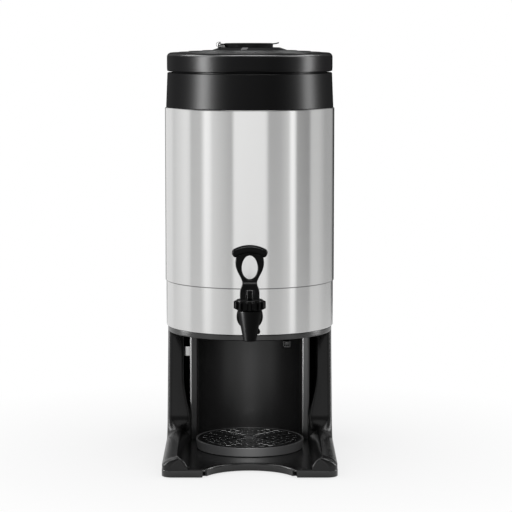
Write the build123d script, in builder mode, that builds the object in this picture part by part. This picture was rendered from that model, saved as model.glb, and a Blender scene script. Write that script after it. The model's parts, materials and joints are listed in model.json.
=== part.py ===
from build123d import *
import os
from math import cos, pi, radians, sin, sqrt

# Insulated coffee server: a steel vacuum flask in a jacket, on a stand with a tap and a drip tray.
# Millimetres, +Z up, front towards -Y, origin in the middle of the footprint on the table.

os.makedirs("parts", exist_ok=True)

# Clearances and cuts
overrun = 1.0
fit = 0.3
snug = 0.05

# Overall sizes
body_radius = 115.0
front_reach = 246.0
sheet = 1.0
lap_gap = 0.2
lap = 8.0
band_inset = 1.8
vessel_y = (front_reach - body_radius) / 2
skirt_radius = body_radius - sheet - lap_gap
stand_radius = skirt_radius - band_inset

# Heights of the stack, from the table up
pad_drop = 1.0
base_thick = 10.0
stand_clear = 144.2
band_height = 8.0
skirt_height = 61.8
shell_height = 235.0
collar_height = 46.8
lid_gap = 1.6
lid_height = 25.2
base_top = pad_drop + base_thick
stand_top = base_top + stand_clear
band_top = stand_top + band_height
seam = band_top + skirt_height
steel_top = seam + shell_height
collar_top = steel_top + collar_height
lid_low = collar_top + lid_gap
lid_top = lid_low + lid_height

# Base plate
base_wall = 3.0
base_roof = 3.0
base_round = 2.5
recess_half = 58.0
recess_depth = 42.0
recess_round = 5.0
foot_round = 14.0
notch_width = 4.9
notch_depth = 6.0
notch_inset = 0.8
notch_roof = 2.0
pad_radius = 9.0
pad_height = 4.0
pad_boss = 11.0
pad_inset = 18.0
pad_setback = 28.0
pad_rear_angle = 32.0

# Columns and the rails that run forward from them
stand_wall = 3.5
column_width = 23.0
column_top_reach = 15.0
column_low_reach = 62.0
column_outer_round = 6.0
column_inner_round = 2.0
column_block = 20.0
rail_width = 22.0
rail_inset = 8.0
rail_height = 16.0
rail_setback = 3.0
rail_round = 10.0
nose_round = 13.0
fairing_radius = 55.0
fairing_rise = 42.0
fairing_proud = 0.8
fairing_run = 34.0
rail_heel = 24.0
column_inner = stand_radius - column_width
rail_outer = stand_radius - rail_inset
rail_inner = rail_outer - rail_width
rail_crest = base_top + rail_height

# Rear shell and its screw posts
post_radius = 9.0
post_inset = 12.0
post_angle = 45.0

# Alcove panel behind the cups
panel_wall = 3.0
lip_gap = 0.7
lip_flare = 0.6
lip_width = 10.2
lip_reach = 45.0
lip_back = 17.0
lip_round = 2.5
lip_return = 30.0
lip_outer = rail_inner - lip_gap - lip_flare
lip_inner = lip_outer - lip_width
alcove_back = 38.0
lug_inset = 19.2
lug_width = 11.8
lug_height = 10.0
lug_wall = 3.0
lug_proud = 6.0
lug_top_drop = 18.0

# Panel clip in the gap beside the left column
clip_sheet = 1.5
clip_height = 12.6
clip_depth = 12.0
clip_low_drop = 35.0
clip_set = 4.0

# Screws
screw_radius = 2.0
screw_head_radius = 3.8
screw_head_height = 2.6
screw_length = 14.0
screw_drive = 3.0
screw_drive_depth = 1.4
column_screw_back = 7.0
base_screw_back = 24.0

# Body ring under the steel skirt
hem = 3.0
ring_floor = 3.0
spigot_wall = 3.0
spigot_rise = 9.0
ring_round = 1.5

# Steel shell and collar
shell_flange = 8.0
shell_round = 2.0
collar_inset = 1.5
collar_taper = 1.9
collar_wall = 4.0
collar_rim = 6.6
collar_round = 1.2
seat_depth = 8.0
seat_deck = 3.0
mouth_inset = 9.0
sleeve_wall = 3.0
sleeve_length = 28.0

# Vacuum flask
flask_sheet = 0.8
jacket_gap = 8.2
vacuum_gap = 8.0
jacket_rise = 3.0
flask_round = 12.0
shoulder_rise = 20.0
shoulder_drop = 12.0
outlet_radius = 7.0
outlet_wall = 1.0
outlet_drop = 16.0
jacket_radius = body_radius - sheet - jacket_gap
liner_radius = jacket_radius - flask_sheet - vacuum_gap
mouth_radius = liner_radius - mouth_inset

# Cradle and hose under the flask
cradle_radius = 60.0
cradle_wall = 3.0
cradle_flange = 15.0
hose_wall = 2.0
hose_bend = 21.0
hose_end_gap = 1.0
hose_lap = 10.0
cradle_slot = 30.0

# Tap: shank, spout and valve chamber
tap_rise = 26.6
spout_reach = 44.2
spout_drop = 27.2
spout_tip = 8.2
spout_bore = 6.0
barrel_radius = 16.1
barrel_rise = 13.2
neck_radius = 14.0
neck_rise = 9.0
chamber_radius = 10.0
seat_drop = 3.8
throat_drop = 10.8
shank_radius = 8.5
inlet_radius = 5.5
tail_length = 22.0
tail_set = 8.0
tap_round = 1.2
tap_height = band_top + tap_rise
spout_low = tap_height - spout_drop
barrel_top = tap_height + barrel_rise
seat_height = tap_height - seat_drop
throat_height = tap_height - throat_drop

# Tap fastening
flange_nut_radius = 17.4
flange_nut_depth = 9.0
wing_reach = 26.0
wing_width = 6.0
wing_angle = -62.0
washer_radius = 14.0
washer_thick = 3.0
lock_nut_flats = 26.0
lock_nut_depth = 7.0

# Bonnet nut
bonnet_radius = 18.0
rib_reach = 20.8
rib_width = 4.4
rib_count = 14
rib_margin = 1.2
bonnet_lift = 0.4
bonnet_height = 13.6
bonnet_roof = 4.0
bonnet_low = barrel_top + bonnet_lift
bonnet_top = bonnet_low + bonnet_height

# Stem, seat cup and spring
stem_radius = 4.0
stem_tongue = 3.4
stem_top_rise = 4.2
cup_radius = 8.4
cup_low_radius = 6.0
cup_low_rise = 1.6
cup_taper = 4.2
cup_height = 14.6
cup_socket = 11.0
wire = 1.0
coil_radius = 6.4
spring_turns = 4

# Lever
pin_rise = 7.0
pin_radius = 1.6
heel_gap = 0.6
heel_front = 9.0
heel_back = 7.0
fork_half = 12.7
fork_slot_rise = 6.0
neck_half = 9.5
neck_lift = 14.5
neck_thick = 9.0
heel_height = 8.0
paddle_half = 18.6
paddle_length = 42.5
paddle_thick = 7.0
paddle_round = 1.5
hole_half = 11.0
hole_lift = 19.5
hole_up = 16.3
hole_down = 14.6
thumb_half = 23.2
thumb_lift = 49.5
thumb_thick = 10.8
thumb_end_drop = 7.5
thumb_end_low_drop = 16.8
thumb_end_half = 18.5
thumb_front = 9.0
thumb_back = 5.0
thumb_round = 4.0
thumb_edge = 2.5
paddle_width_shares = (0.51, 0.70, 0.94, 1.0, 0.88)
paddle_height_shares = (0.0, 0.22, 0.45, 0.62, 1.0)
pin_height = bonnet_top + pin_rise
neck_height = pin_height + neck_lift
hole_middle = neck_height + hole_lift
thumb_top = neck_height + thumb_lift
thumb_low = thumb_top - thumb_thick
thumb_end_top = thumb_top - thumb_end_drop
thumb_end_low = thumb_top - thumb_end_low_drop

# Drip tray and grate
tray_side = 10.0
tray_radius = rail_inner - tray_side
tray_reach = 98.6
tray_height = 12.0
tray_draft = 1.5
tray_wall = 2.5
tray_floor = 2.5
tray_round = 1.0
grate_thick = 2.6
grate_ledge = 3.0
grate_rim = 4.0
slot_width = 4.6
grate_hub = 7.0
slot_counts = (5, 9, 13, 17, 21, 25)
slot_bar = 3.4

# Lid
lid_overhang = 0.6
lid_draft = 0.4
lid_wall = 3.0
lid_round = 5.0
lid_rim = 4.6
trough_width = 11.2
trough_depth = 2.6
trough_round = 0.6
step_outer_share = 0.7
step_inner_share = 0.295
boss_base = 51.3
boss_radius = 40.5
dome_rise = 0.2
step_outer_rise = 1.3
step_inner_rise = 2.7
boss_base_rise = 3.2
boss_rise = 6.8
ring_step = 0.5
thumb_notch_half = 30.0
thumb_notch_height = 1.6
plug_gap = 0.5
plug_wall = 2.5
plug_drop = 15.0
plug_neck_gap = 2.0
gasket_gap = 0.25
gasket_height = 6.0
gasket_set = 4.0

# Brew funnel
funnel_rim = 31.5
funnel_radius = 29.0
funnel_wall = 2.0
funnel_rim_height = 1.6
funnel_drop = 34.0
funnel_tube = 7.0
funnel_tube_drop = 42.0

# Flip cap and its hinge
cap_radius = 33.0
cap_shift = 1.5
cap_height = 5.4
cap_round = 1.4
cap_roof = 2.2
cap_wall = 3.0
seal_width = 2.4
tab_length = 8.1
tab_half = 9.0
tab_thick = 1.6
tab_rise = 1.4
hinge_gap = 6.1
hinge_rise = 4.0
hinge_pin_radius = 1.1
hinge_pin_overhang = 4.6
knuckle_radius = 2.3
knuckle_half = 5.5
ear_gap = 0.5
ear_width = 4.0

# Hinge spring
hinge_wire = 0.8
hinge_coil_radius = 3.2
hinge_coil_offset = 1.4
hinge_coil_pitch = 1.4
hinge_coil_quarters = 10
hinge_short_arm = 3.0
hinge_long_arm = 8.5

# Vent block on the front of the boss
vent_width = 8.0
vent_depth = 5.0
vent_side = 9.6
vent_slant = 3.8
vent_reach = 46.0
vent_height = 5.4
vent_floor = 1.6

# Planes and axes that the pieces share
section_plane = Plane(origin=(0, vessel_y, 0), x_dir=(1, 0, 0), z_dir=(0, -1, 0))
vessel_axis = Axis((0, vessel_y, 0), (0, 0, 1))
tap_y = vessel_y - skirt_radius - spout_reach
tap_section = Plane(origin=(0, tap_y, 0), x_dir=(1, 0, 0), z_dir=(0, -1, 0))
tap_axis = Axis((0, tap_y, 0), (0, 0, 1))
tray_y = vessel_y - tray_reach
tray_section = Plane(origin=(0, tray_y, 0), x_dir=(1, 0, 0), z_dir=(0, -1, 0))
tray_axis = Axis((0, tray_y, 0), (0, 0, 1))


def level(height):
    """Horizontal plane at a height, centred on the vessel's axis."""
    return Plane((0, vessel_y, height))


def side_plane(x):
    """Plane that looks along X at x: its own x runs along Y from the vessel's axis, its y is height."""
    return Plane(origin=(x, vessel_y, 0), x_dir=(0, 1, 0), z_dir=(1, 0, 0))


def across(y, height):
    """Plane that looks towards the back at y, centred at a height: its own x runs along -X."""
    return Plane(origin=(0, y, height), x_dir=(-1, 0, 0), z_dir=(0, 1, 0))


def profile(points, rounds=(), plane=section_plane):
    """Face inside straight lines through points, with the corners named in rounds made round."""
    with BuildSketch(plane) as drawn:
        with BuildLine():
            Polyline(*points, close=True)
        make_face()
        for index, radius in rounds:
            fillet(drawn.vertices().sort_by_distance(points[index])[0], radius)
    return drawn.sketch


def finish(piece, name):
    """Name a finished piece and write it."""
    piece.part.label = name
    export_step(piece.part, f"parts/{name}.step")


def biarc(start, start_way, end, end_way):
    """Two arcs that leave start along start_way and reach end along end_way."""
    chord = end - start
    ways = start_way + end_way
    a = ways.dot(ways) - (start_way.dot(start_way) + end_way.dot(end_way)) * 2
    b = -2 * chord.dot(ways)
    c = chord.dot(chord)
    reach = (-b - sqrt(b * b - 4 * a * c)) / (2 * a)
    first_corner = start + start_way * reach
    second_corner = end - end_way * reach
    middle = (first_corner + second_corner) / 2
    TangentArc(start, middle, tangent=start_way)
    TangentArc(middle, end, tangent=second_corner - first_corner)


def coil_point(centre, along, first, second, radius, pitch, turn):
    """Point and direction of a helix about along, at a number of turns from first towards second."""
    angle = 2 * pi * turn
    place = centre + along * (pitch * turn) + (first * cos(angle) + second * sin(angle)) * radius
    way = along * pitch + (second * cos(angle) - first * sin(angle)) * (2 * pi * radius)
    return place, way.normalized()


def coil(centre, along, first, second, radius, pitch, quarters):
    """Helix of some quarter turns, as one biarc each. Gives the points and directions of its ends."""
    turns = [step / 4 for step in range(quarters + 1)]
    stops = [coil_point(centre, along, first, second, radius, pitch, turn) for turn in turns]
    for (start, start_way), (end, end_way) in zip(stops, stops[1:]):
        biarc(start, start_way, end, end_way)
    return stops[0], stops[-1]


def least_gap(path, wire_size, apart, count=400):
    """Smallest space between stretches of a wire that lie more than apart along it."""
    points = [path @ (step / count) for step in range(count + 1)]
    skip = int(count * apart / path.length) + 1
    spans = [
        (points[i] - points[j]).length for i in range(count + 1) for j in range(i + skip, count + 1)
    ]
    return min(spans) - wire_size


# Base plate: a hollow plate with a bowed front between the two feet
def base_outline(inset):
    """Plan of the base plate, drawn in by inset."""
    front_corners = [(stand_radius, -front_reach), (-stand_radius, -front_reach)]
    recess_corners = [(recess_half, -front_reach), (-recess_half, -front_reach)]
    with BuildSketch(level(pad_drop)) as drawn:
        with BuildLine():
            ThreePointArc((-stand_radius, 0), (0, stand_radius), (stand_radius, 0))
            Line((stand_radius, 0), front_corners[0])
            Line(front_corners[0], recess_corners[0])
            ThreePointArc(recess_corners[0], (0, recess_depth - front_reach), recess_corners[1])
            Line(recess_corners[1], front_corners[1])
            Line(front_corners[1], (-stand_radius, 0))
        make_face()
        for corner in front_corners:
            fillet(drawn.vertices().sort_by_distance(corner)[0], foot_round)
        for corner in recess_corners:
            fillet(drawn.vertices().sort_by_distance(corner)[0], recess_round)
        if inset:
            offset(amount=-inset, mode=Mode.REPLACE)
    return drawn.sketch


column_middle = stand_radius - column_width / 2
post_circle = stand_radius - post_inset
post_side = post_circle * sin(radians(post_angle))
post_rear = post_circle * cos(radians(post_angle))
pad_circle = stand_radius - pad_inset
pad_rear_side = pad_circle * sin(radians(pad_rear_angle))
pad_rear = pad_circle * cos(radians(pad_rear_angle))
pad_places = [(side * pad_circle, pad_setback - front_reach) for side in (-1, 1)]
pad_places += [(side * pad_rear_side, pad_rear) for side in (-1, 1)]
base_screw_places = [(side * column_middle, -base_screw_back) for side in (-1, 1)]
base_screw_places += [(side * post_side, post_rear) for side in (-1, 1)]
ring_screw_places = [(side * column_middle, -column_screw_back) for side in (-1, 1)]
ring_screw_places += [(side * post_side, post_rear) for side in (-1, 1)]

with BuildPart() as base_plate:
    extrude(base_outline(0), amount=base_thick)
    fillet(base_plate.faces().sort_by(Axis.Z)[-1].edges(), base_round)
    extrude(base_outline(base_wall), amount=base_thick - base_roof, mode=Mode.SUBTRACT)
    with BuildSketch(level(pad_height)):
        with Locations(*pad_places):
            Circle(pad_boss)
    extrude(amount=base_top - base_roof - pad_height)
    with BuildSketch(level(pad_drop)):
        with Locations(*[(side * (recess_half - notch_inset), -front_reach) for side in (-1, 1)]):
            Rectangle(notch_width, 2 * notch_depth)
    extrude(amount=base_thick - notch_roof, mode=Mode.SUBTRACT)
    with BuildSketch(level(pad_drop)):
        with Locations(*base_screw_places):
            Circle(screw_radius + fit)
    extrude(amount=base_thick + overrun, mode=Mode.SUBTRACT)
finish(base_plate, "base_plate")

with BuildPart() as base_pads:
    with BuildSketch(level(0)):
        with Locations(*pad_places):
            Circle(pad_radius)
    extrude(amount=pad_height)
    fillet(base_pads.faces().sort_by(Axis.Z)[-1].edges(), pad_drop / 2)
finish(base_pads, "base_pads")


# Legs: a slanted column with a rounded rail that runs forward to the nose of the foot
def column_front(height):
    """Y of the column's front edge at a height, from the vessel's axis."""
    share = (height - base_top) / stand_clear
    return -(column_low_reach + (column_top_reach - column_low_reach) * share)


rail_front = rail_setback - front_reach
fairing_top = rail_crest + fairing_rise
rail_points = [
    (rail_front, base_top),
    (rail_front, rail_crest),
    (column_front(rail_crest) - fairing_proud, rail_crest),
    (column_front(fairing_top) - fairing_proud, fairing_top),
    (column_front(fairing_top) + rail_heel, fairing_top),
    (column_front(fairing_top) + rail_heel, base_top),
]


def on_ridge(edge):
    """Whether an edge runs along the rail's nose, crest or fairing."""
    middle = edge @ 0.5
    ahead = middle.Y - vessel_y < column_front(middle.Z) - fairing_proud / 2
    return edge.bounding_box().size.X < snug and middle.Z > base_top + snug and ahead


with BuildPart() as rail_form:
    rail_face = profile(rail_points, [(1, nose_round), (2, fairing_radius)], side_plane(rail_inner))
    extrude(rail_face, amount=rail_width)
    fillet(rail_form.edges().filter_by(on_ridge), rail_round)
    run_points = [
        (rail_inner - overrun, fairing_top - fairing_run),
        (rail_inner, fairing_top - fairing_run),
        (column_inner, fairing_top + overrun),
        (rail_inner - overrun, fairing_top + overrun),
    ]
    extrude(profile(run_points), amount=front_reach, mode=Mode.SUBTRACT)

column_points = [
    (0, base_top),
    (0, stand_top),
    (-column_top_reach, stand_top),
    (-column_low_reach, base_top),
]
cavity_low = base_top + column_block
cavity_high = stand_top - column_block
cavity_points = [
    (overrun, cavity_low),
    (overrun, cavity_high),
    (column_front(cavity_high) + stand_wall, cavity_high),
    (column_front(cavity_low) + stand_wall, cavity_low),
]
with BuildPart() as right_leg:
    extrude(profile(column_points, plane=side_plane(column_inner)), amount=column_width)
    front_edges = right_leg.faces().sort_by(Axis.Y)[0].edges().filter_by(Plane.YZ).sort_by(Axis.X)
    fillet(front_edges[0], column_inner_round)
    front_edges = right_leg.edges().filter_by(Plane.YZ).group_by(Axis.X)[-1].sort_by(Axis.Y)
    fillet(front_edges[0], column_outer_round)
    extrude(
        profile(cavity_points, plane=side_plane(column_inner + stand_wall)),
        amount=column_width - 2 * stand_wall,
        mode=Mode.SUBTRACT,
    )
    add(rail_form.part)
    with BuildSketch(level(stand_top)):
        with Locations((column_middle, -column_screw_back)):
            Circle(screw_radius)
    extrude(amount=-(screw_length + overrun), mode=Mode.SUBTRACT)
    with BuildSketch(level(base_top)):
        with Locations((column_middle, -base_screw_back)):
            Circle(screw_radius)
    extrude(amount=screw_length + overrun, mode=Mode.SUBTRACT)
finish(right_leg, "right_leg")

with BuildPart() as left_leg:
    mirror(right_leg.part, about=Plane.YZ)
finish(left_leg, "left_leg")

# Rear shell: half a tube behind the columns, with two screw posts
with BuildPart() as rear_shell:
    with BuildSketch(level(base_top)):
        Circle(stand_radius)
        Circle(stand_radius - stand_wall, mode=Mode.SUBTRACT)
        with Locations((0, -stand_radius)):
            Rectangle(2 * stand_radius, 2 * stand_radius, mode=Mode.SUBTRACT)
        with Locations((-post_side, post_rear), (post_side, post_rear)):
            Circle(post_radius)
    extrude(amount=stand_clear)
    for height, way in ((stand_top, -1), (base_top, 1)):
        with BuildSketch(level(height)):
            with Locations((-post_side, post_rear), (post_side, post_rear)):
                Circle(screw_radius)
        extrude(amount=way * (screw_length + overrun), mode=Mode.SUBTRACT)
finish(rear_shell, "rear_shell")

# Alcove panel: a bowed wall with a slanted lip at each side and a small moulded lug
alcove_half = (lip_inner**2 + (alcove_back + lip_back) ** 2) / (2 * (alcove_back + lip_back))
lug_place = lip_inner - lug_inset
lug_back = alcove_back - alcove_half + sqrt(alcove_half**2 - lug_place**2)
lug_top = stand_top - lug_top_drop
with BuildPart() as alcove_panel:
    with BuildSketch(level(base_top)):
        with BuildLine():
            right_lip = FilletPolyline(
                (lip_outer + lip_flare, lip_return - lip_reach),
                (lip_outer, -lip_reach),
                (lip_inner, -lip_back),
                radius=lip_round,
            )
            ThreePointArc((lip_inner, -lip_back), (0, alcove_back), (-lip_inner, -lip_back))
            mirror(right_lip, about=Plane.YZ)
            offset(amount=panel_wall, side=Side.RIGHT)
        make_face()
    extrude(amount=stand_clear)
    with BuildSketch(section_plane.offset(-lug_back)):
        with Locations((lug_place, lug_top - lug_height / 2)):
            Rectangle(lug_width, lug_height)
        with Locations((lug_place, lug_top - (lug_height - lug_wall) / 2)):
            Rectangle(lug_width - 2 * lug_wall, lug_height - lug_wall, mode=Mode.SUBTRACT)
    extrude(amount=lug_proud, both=True)
    with BuildSketch(level(base_top)):
        with BuildLine():
            ThreePointArc((lip_inner, -lip_back), (0, alcove_back), (-lip_inner, -lip_back))
            offset(amount=2 * panel_wall + lug_proud, side=Side.RIGHT)
        make_face()
        with BuildLine():
            ThreePointArc((lip_inner, -lip_back), (0, alcove_back), (-lip_inner, -lip_back))
            offset(amount=panel_wall, side=Side.RIGHT)
        make_face(mode=Mode.SUBTRACT)
    extrude(amount=stand_clear, mode=Mode.SUBTRACT)
finish(alcove_panel, "alcove_panel")

# Panel clip: an angle of steel strip between the left column and the alcove panel
clip_low = stand_top - clip_low_drop
clip_front = column_top_reach - clip_set
with BuildPart() as panel_clip:
    with BuildSketch(level(clip_low)):
        with BuildLine():
            Polyline(
                (-(lip_outer + lip_flare + fit), -clip_front),
                (-(column_inner - clip_sheet), -clip_front),
                (-(column_inner - clip_sheet), clip_depth - clip_front),
                (-column_inner, clip_depth - clip_front),
                (-column_inner, -(clip_front + clip_sheet)),
                (-(lip_outer + lip_flare + fit), -(clip_front + clip_sheet)),
                close=True,
            )
        make_face()
    extrude(amount=clip_height)
finish(panel_clip, "panel_clip")


# Screws: a pan head with a square drive on a plain shank
def screw_group(places, seat, way):
    """Screws at places, with their heads against the seat and their shanks the way given."""
    with BuildPart() as group:
        with BuildSketch(level(seat)):
            with Locations(*places):
                Circle(screw_radius - snug)
        extrude(amount=way * screw_length)
        with BuildSketch(level(seat)):
            with Locations(*places):
                Circle(screw_head_radius)
        extrude(amount=-way * screw_head_height)
        with BuildSketch(level(seat - way * screw_head_height)):
            with Locations(*places):
                Rectangle(screw_drive, screw_drive)
        extrude(amount=way * screw_drive_depth, mode=Mode.SUBTRACT)
    return group


base_screws = screw_group(base_screw_places, base_top - base_roof, 1)
finish(base_screws, "base_screws")

# Body ring: closes the skirt below and stands on the columns
hem_radius = stand_radius - hem
spigot_radius = hem_radius - fit
ring_points = [
    (0, stand_top),
    (stand_radius, stand_top),
    (stand_radius, band_top),
    (spigot_radius, band_top),
    (spigot_radius, band_top + spigot_rise),
    (spigot_radius - spigot_wall, band_top + spigot_rise),
    (spigot_radius - spigot_wall, stand_top + ring_floor),
    (0, stand_top + ring_floor),
]
with BuildPart() as body_ring:
    revolve(profile(ring_points, [(1, ring_round), (2, ring_round)]), axis=vessel_axis)
    with BuildSketch(level(stand_top)):
        with Locations(*ring_screw_places):
            Circle(screw_radius + fit)
    extrude(amount=ring_floor + overrun, mode=Mode.SUBTRACT)
finish(body_ring, "body_ring")

ring_screws = screw_group(ring_screw_places, stand_top + ring_floor, -1)
finish(ring_screws, "ring_screws")

# Steel skirt: the lower part of the jacket, with the hole for the tap
skirt_points = [
    (hem_radius, band_top),
    (skirt_radius, band_top),
    (skirt_radius, seam + lap),
    (skirt_radius - sheet, seam + lap),
    (skirt_radius - sheet, band_top + sheet),
    (hem_radius, band_top + sheet),
]
with BuildPart() as steel_skirt:
    revolve(profile(skirt_points, [(1, sheet / 2)]), axis=vessel_axis)
    with BuildSketch(across(vessel_y - skirt_radius - overrun, tap_height)):
        Circle(shank_radius + fit)
    extrude(amount=skirt_radius / 2, mode=Mode.SUBTRACT)
finish(steel_skirt, "steel_skirt")

# Steel shell: the upper part of the jacket, with its top edge turned in
shell_points = [
    (body_radius, seam),
    (body_radius, steel_top),
    (body_radius - shell_flange, steel_top),
    (body_radius - shell_flange, steel_top - sheet),
    (body_radius - sheet, steel_top - sheet),
    (body_radius - sheet, seam),
]
with BuildPart() as steel_shell:
    revolve(profile(shell_points, [(1, shell_round), (4, shell_round - sheet)]), axis=vessel_axis)
finish(steel_shell, "steel_shell")

# Collar: the black ring above the steel, with the seat for the lid and a sleeve round the flask's neck
collar_low_radius = body_radius - collar_inset
collar_high_radius = collar_low_radius - collar_taper
recess_radius = collar_high_radius - collar_rim
seat = collar_top - seat_depth
collar_points = [
    (collar_low_radius, steel_top),
    (collar_high_radius, collar_top),
    (recess_radius, collar_top),
    (recess_radius, seat),
    (mouth_radius, seat),
    (mouth_radius, seat - sleeve_length),
    (mouth_radius + sleeve_wall, seat - sleeve_length),
    (mouth_radius + sleeve_wall, seat - seat_deck),
    (collar_high_radius - collar_wall, seat - seat_deck),
    (collar_low_radius - collar_wall, steel_top),
]
with BuildPart() as top_collar:
    revolve(profile(collar_points, [(1, collar_round)]), axis=vessel_axis)
finish(top_collar, "top_collar")

# Vacuum flask: an outer wall and a liner, joined at the neck
jacket_neck = mouth_radius - fit
liner_neck = jacket_neck - flask_sheet - fit
jacket_floor = seam + jacket_rise
liner_floor = jacket_floor + flask_sheet + vacuum_gap
neck_low = seat - sleeve_length - jacket_rise
flask_rim = seat - flask_sheet
outlet_low = jacket_floor - outlet_drop
jacket_points = [
    (outlet_radius + fit, jacket_floor),
    (jacket_radius, jacket_floor),
    (jacket_radius, neck_low - shoulder_rise),
    (jacket_neck, neck_low),
    (jacket_neck, flask_rim),
    (jacket_neck - flask_sheet, flask_rim),
    (jacket_neck - flask_sheet, neck_low),
    (jacket_radius - flask_sheet, neck_low - shoulder_rise),
    (jacket_radius - flask_sheet, jacket_floor + flask_sheet),
    (outlet_radius + fit, jacket_floor + flask_sheet),
]
with BuildPart() as flask_jacket:
    revolve(profile(jacket_points, [(1, flask_round), (8, flask_round - flask_sheet)]), axis=vessel_axis)
finish(flask_jacket, "flask_jacket")

liner_neck_low = neck_low - shoulder_drop
liner_shoulder = liner_neck_low - shoulder_rise
liner_points = [
    (outlet_radius - outlet_wall, outlet_low),
    (outlet_radius, outlet_low),
    (outlet_radius, liner_floor),
    (liner_radius, liner_floor),
    (liner_radius, liner_shoulder),
    (liner_neck, liner_neck_low),
    (liner_neck, flask_rim),
    (jacket_neck, flask_rim),
    (jacket_neck, seat),
    (liner_neck - flask_sheet, seat),
    (liner_neck - flask_sheet, liner_neck_low),
    (liner_radius - flask_sheet, liner_shoulder),
    (liner_radius - flask_sheet, liner_floor + flask_sheet),
    (outlet_radius - outlet_wall, liner_floor + flask_sheet),
]
with BuildPart() as flask_liner:
    revolve(profile(liner_points, [(3, flask_round), (12, flask_round - flask_sheet)]), axis=vessel_axis)
finish(flask_liner, "flask_liner")

# Cradle: a flanged ring that carries the flask on the body ring, slotted for the hose
cradle_low = stand_top + ring_floor
cradle_points = [
    (cradle_radius, cradle_low),
    (cradle_radius + cradle_flange, cradle_low),
    (cradle_radius + cradle_flange, cradle_low + cradle_wall),
    (cradle_radius + cradle_wall, cradle_low + cradle_wall),
    (cradle_radius + cradle_wall, jacket_floor - cradle_wall),
    (cradle_radius + cradle_flange, jacket_floor - cradle_wall),
    (cradle_radius + cradle_flange, jacket_floor),
    (cradle_radius, jacket_floor),
]
with BuildPart() as flask_cradle:
    revolve(profile(cradle_points), axis=vessel_axis)
    with BuildSketch(across(vessel_y, tap_height)):
        Rectangle(cradle_slot, cradle_slot)
    extrude(amount=-(cradle_radius + cradle_flange), mode=Mode.SUBTRACT)
finish(flask_cradle, "flask_cradle")

# Outlet hose: from the flask's outlet down and forward onto the tail of the tap
hose_bore = outlet_radius + snug
tail_end = vessel_y - skirt_radius + sheet + tail_set + tail_length
hose_front = tail_end - hose_lap
with BuildPart() as outlet_hose:
    with BuildLine() as hose_path:
        FilletPolyline(
            (0, vessel_y, jacket_floor - hose_end_gap),
            (0, vessel_y, tap_height),
            (0, hose_front, tap_height),
            radius=hose_bend,
        )
    with BuildSketch(hose_path.line ^ 0):
        Circle(hose_bore + hose_wall)
        Circle(hose_bore, mode=Mode.SUBTRACT)
    sweep()
finish(outlet_hose, "outlet_hose")

# Tap body: a tapered spout with a valve chamber, and a shank that passes through the skirt
neck_top = barrel_top + neck_rise
tap_points = [
    (0, spout_low),
    (spout_tip, spout_low),
    (barrel_radius, barrel_top),
    (neck_radius, barrel_top),
    (neck_radius, neck_top),
    (0, neck_top),
]
bore_points = [
    (0, spout_low - overrun),
    (spout_bore, spout_low - overrun),
    (spout_bore, throat_height),
    (chamber_radius, seat_height),
    (chamber_radius, neck_top + overrun),
    (0, neck_top + overrun),
]
thread_end = tail_end - tail_length
with BuildPart() as tap_body:
    revolve(profile(tap_points, [(1, tap_round)], plane=tap_section), axis=tap_axis)
    with BuildSketch(across(tap_y, tap_height)):
        Circle(shank_radius)
    extrude(amount=thread_end - tap_y)
    with BuildSketch(across(thread_end, tap_height)):
        Circle(outlet_radius)
    extrude(amount=tail_length)
    revolve(profile(bore_points, plane=tap_section), axis=tap_axis, mode=Mode.SUBTRACT)
    with BuildSketch(across(tap_y, tap_height)):
        Circle(inlet_radius)
    extrude(amount=tail_end - tap_y + overrun, mode=Mode.SUBTRACT)
finish(tap_body, "tap_body")

# Tap fastening: a flange nut with two wings outside, a hexagon nut inside, and a washer under each
skirt_front = vessel_y - skirt_radius
nut_back = skirt_front - washer_thick
with BuildPart() as tap_flange_nut:
    with BuildSketch(across(nut_back, tap_height)):
        Circle(flange_nut_radius)
        SlotOverall(2 * wing_reach, wing_width, rotation=-wing_angle)
        Circle(shank_radius + snug, mode=Mode.SUBTRACT)
    extrude(amount=-flange_nut_depth)
    fillet(tap_flange_nut.faces().sort_by(Axis.Y)[0].outer_wire().edges(), tap_round)
finish(tap_flange_nut, "tap_flange_nut")

inside_face = skirt_front + sheet + washer_thick
with BuildPart() as tap_washers:
    with BuildSketch(across(nut_back, tap_height)):
        Circle(washer_radius)
        Circle(shank_radius + snug, mode=Mode.SUBTRACT)
    extrude(amount=inside_face - nut_back)
    with BuildSketch(level(tap_height - washer_radius - overrun)):
        Circle(skirt_radius + snug)
        Circle(skirt_radius - sheet - snug, mode=Mode.SUBTRACT)
    extrude(amount=2 * (washer_radius + overrun), mode=Mode.SUBTRACT)
finish(tap_washers, "tap_washers")

with BuildPart() as tap_lock_nut:
    with BuildSketch(across(inside_face, tap_height)):
        RegularPolygon(lock_nut_flats / 2, 6, major_radius=False)
        Circle(shank_radius + snug, mode=Mode.SUBTRACT)
    extrude(amount=lock_nut_depth)
finish(tap_lock_nut, "tap_lock_nut")

# Bonnet nut: a ribbed cap over the valve chamber, with a hole for the stem
ceiling = bonnet_top - bonnet_roof
bonnet_points = [
    (neck_radius + snug, bonnet_low),
    (bonnet_radius, bonnet_low),
    (bonnet_radius, bonnet_top),
    (stem_radius + fit, bonnet_top),
    (stem_radius + fit, ceiling),
    (neck_radius + snug, ceiling),
]
with BuildPart() as bonnet_nut:
    revolve(profile(bonnet_points, [(1, tap_round), (2, tap_round)], plane=tap_section), axis=tap_axis)
    with BuildSketch(Plane((0, tap_y, bonnet_low + rib_margin))):
        with PolarLocations(bonnet_radius - tap_round, rib_count):
            with Locations(((rib_reach - bonnet_radius + tap_round) / 2, 0)):
                Rectangle(rib_reach - bonnet_radius + tap_round, rib_width)
    extrude(amount=bonnet_height - 2 * rib_margin)
finish(bonnet_nut, "bonnet_nut")

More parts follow.
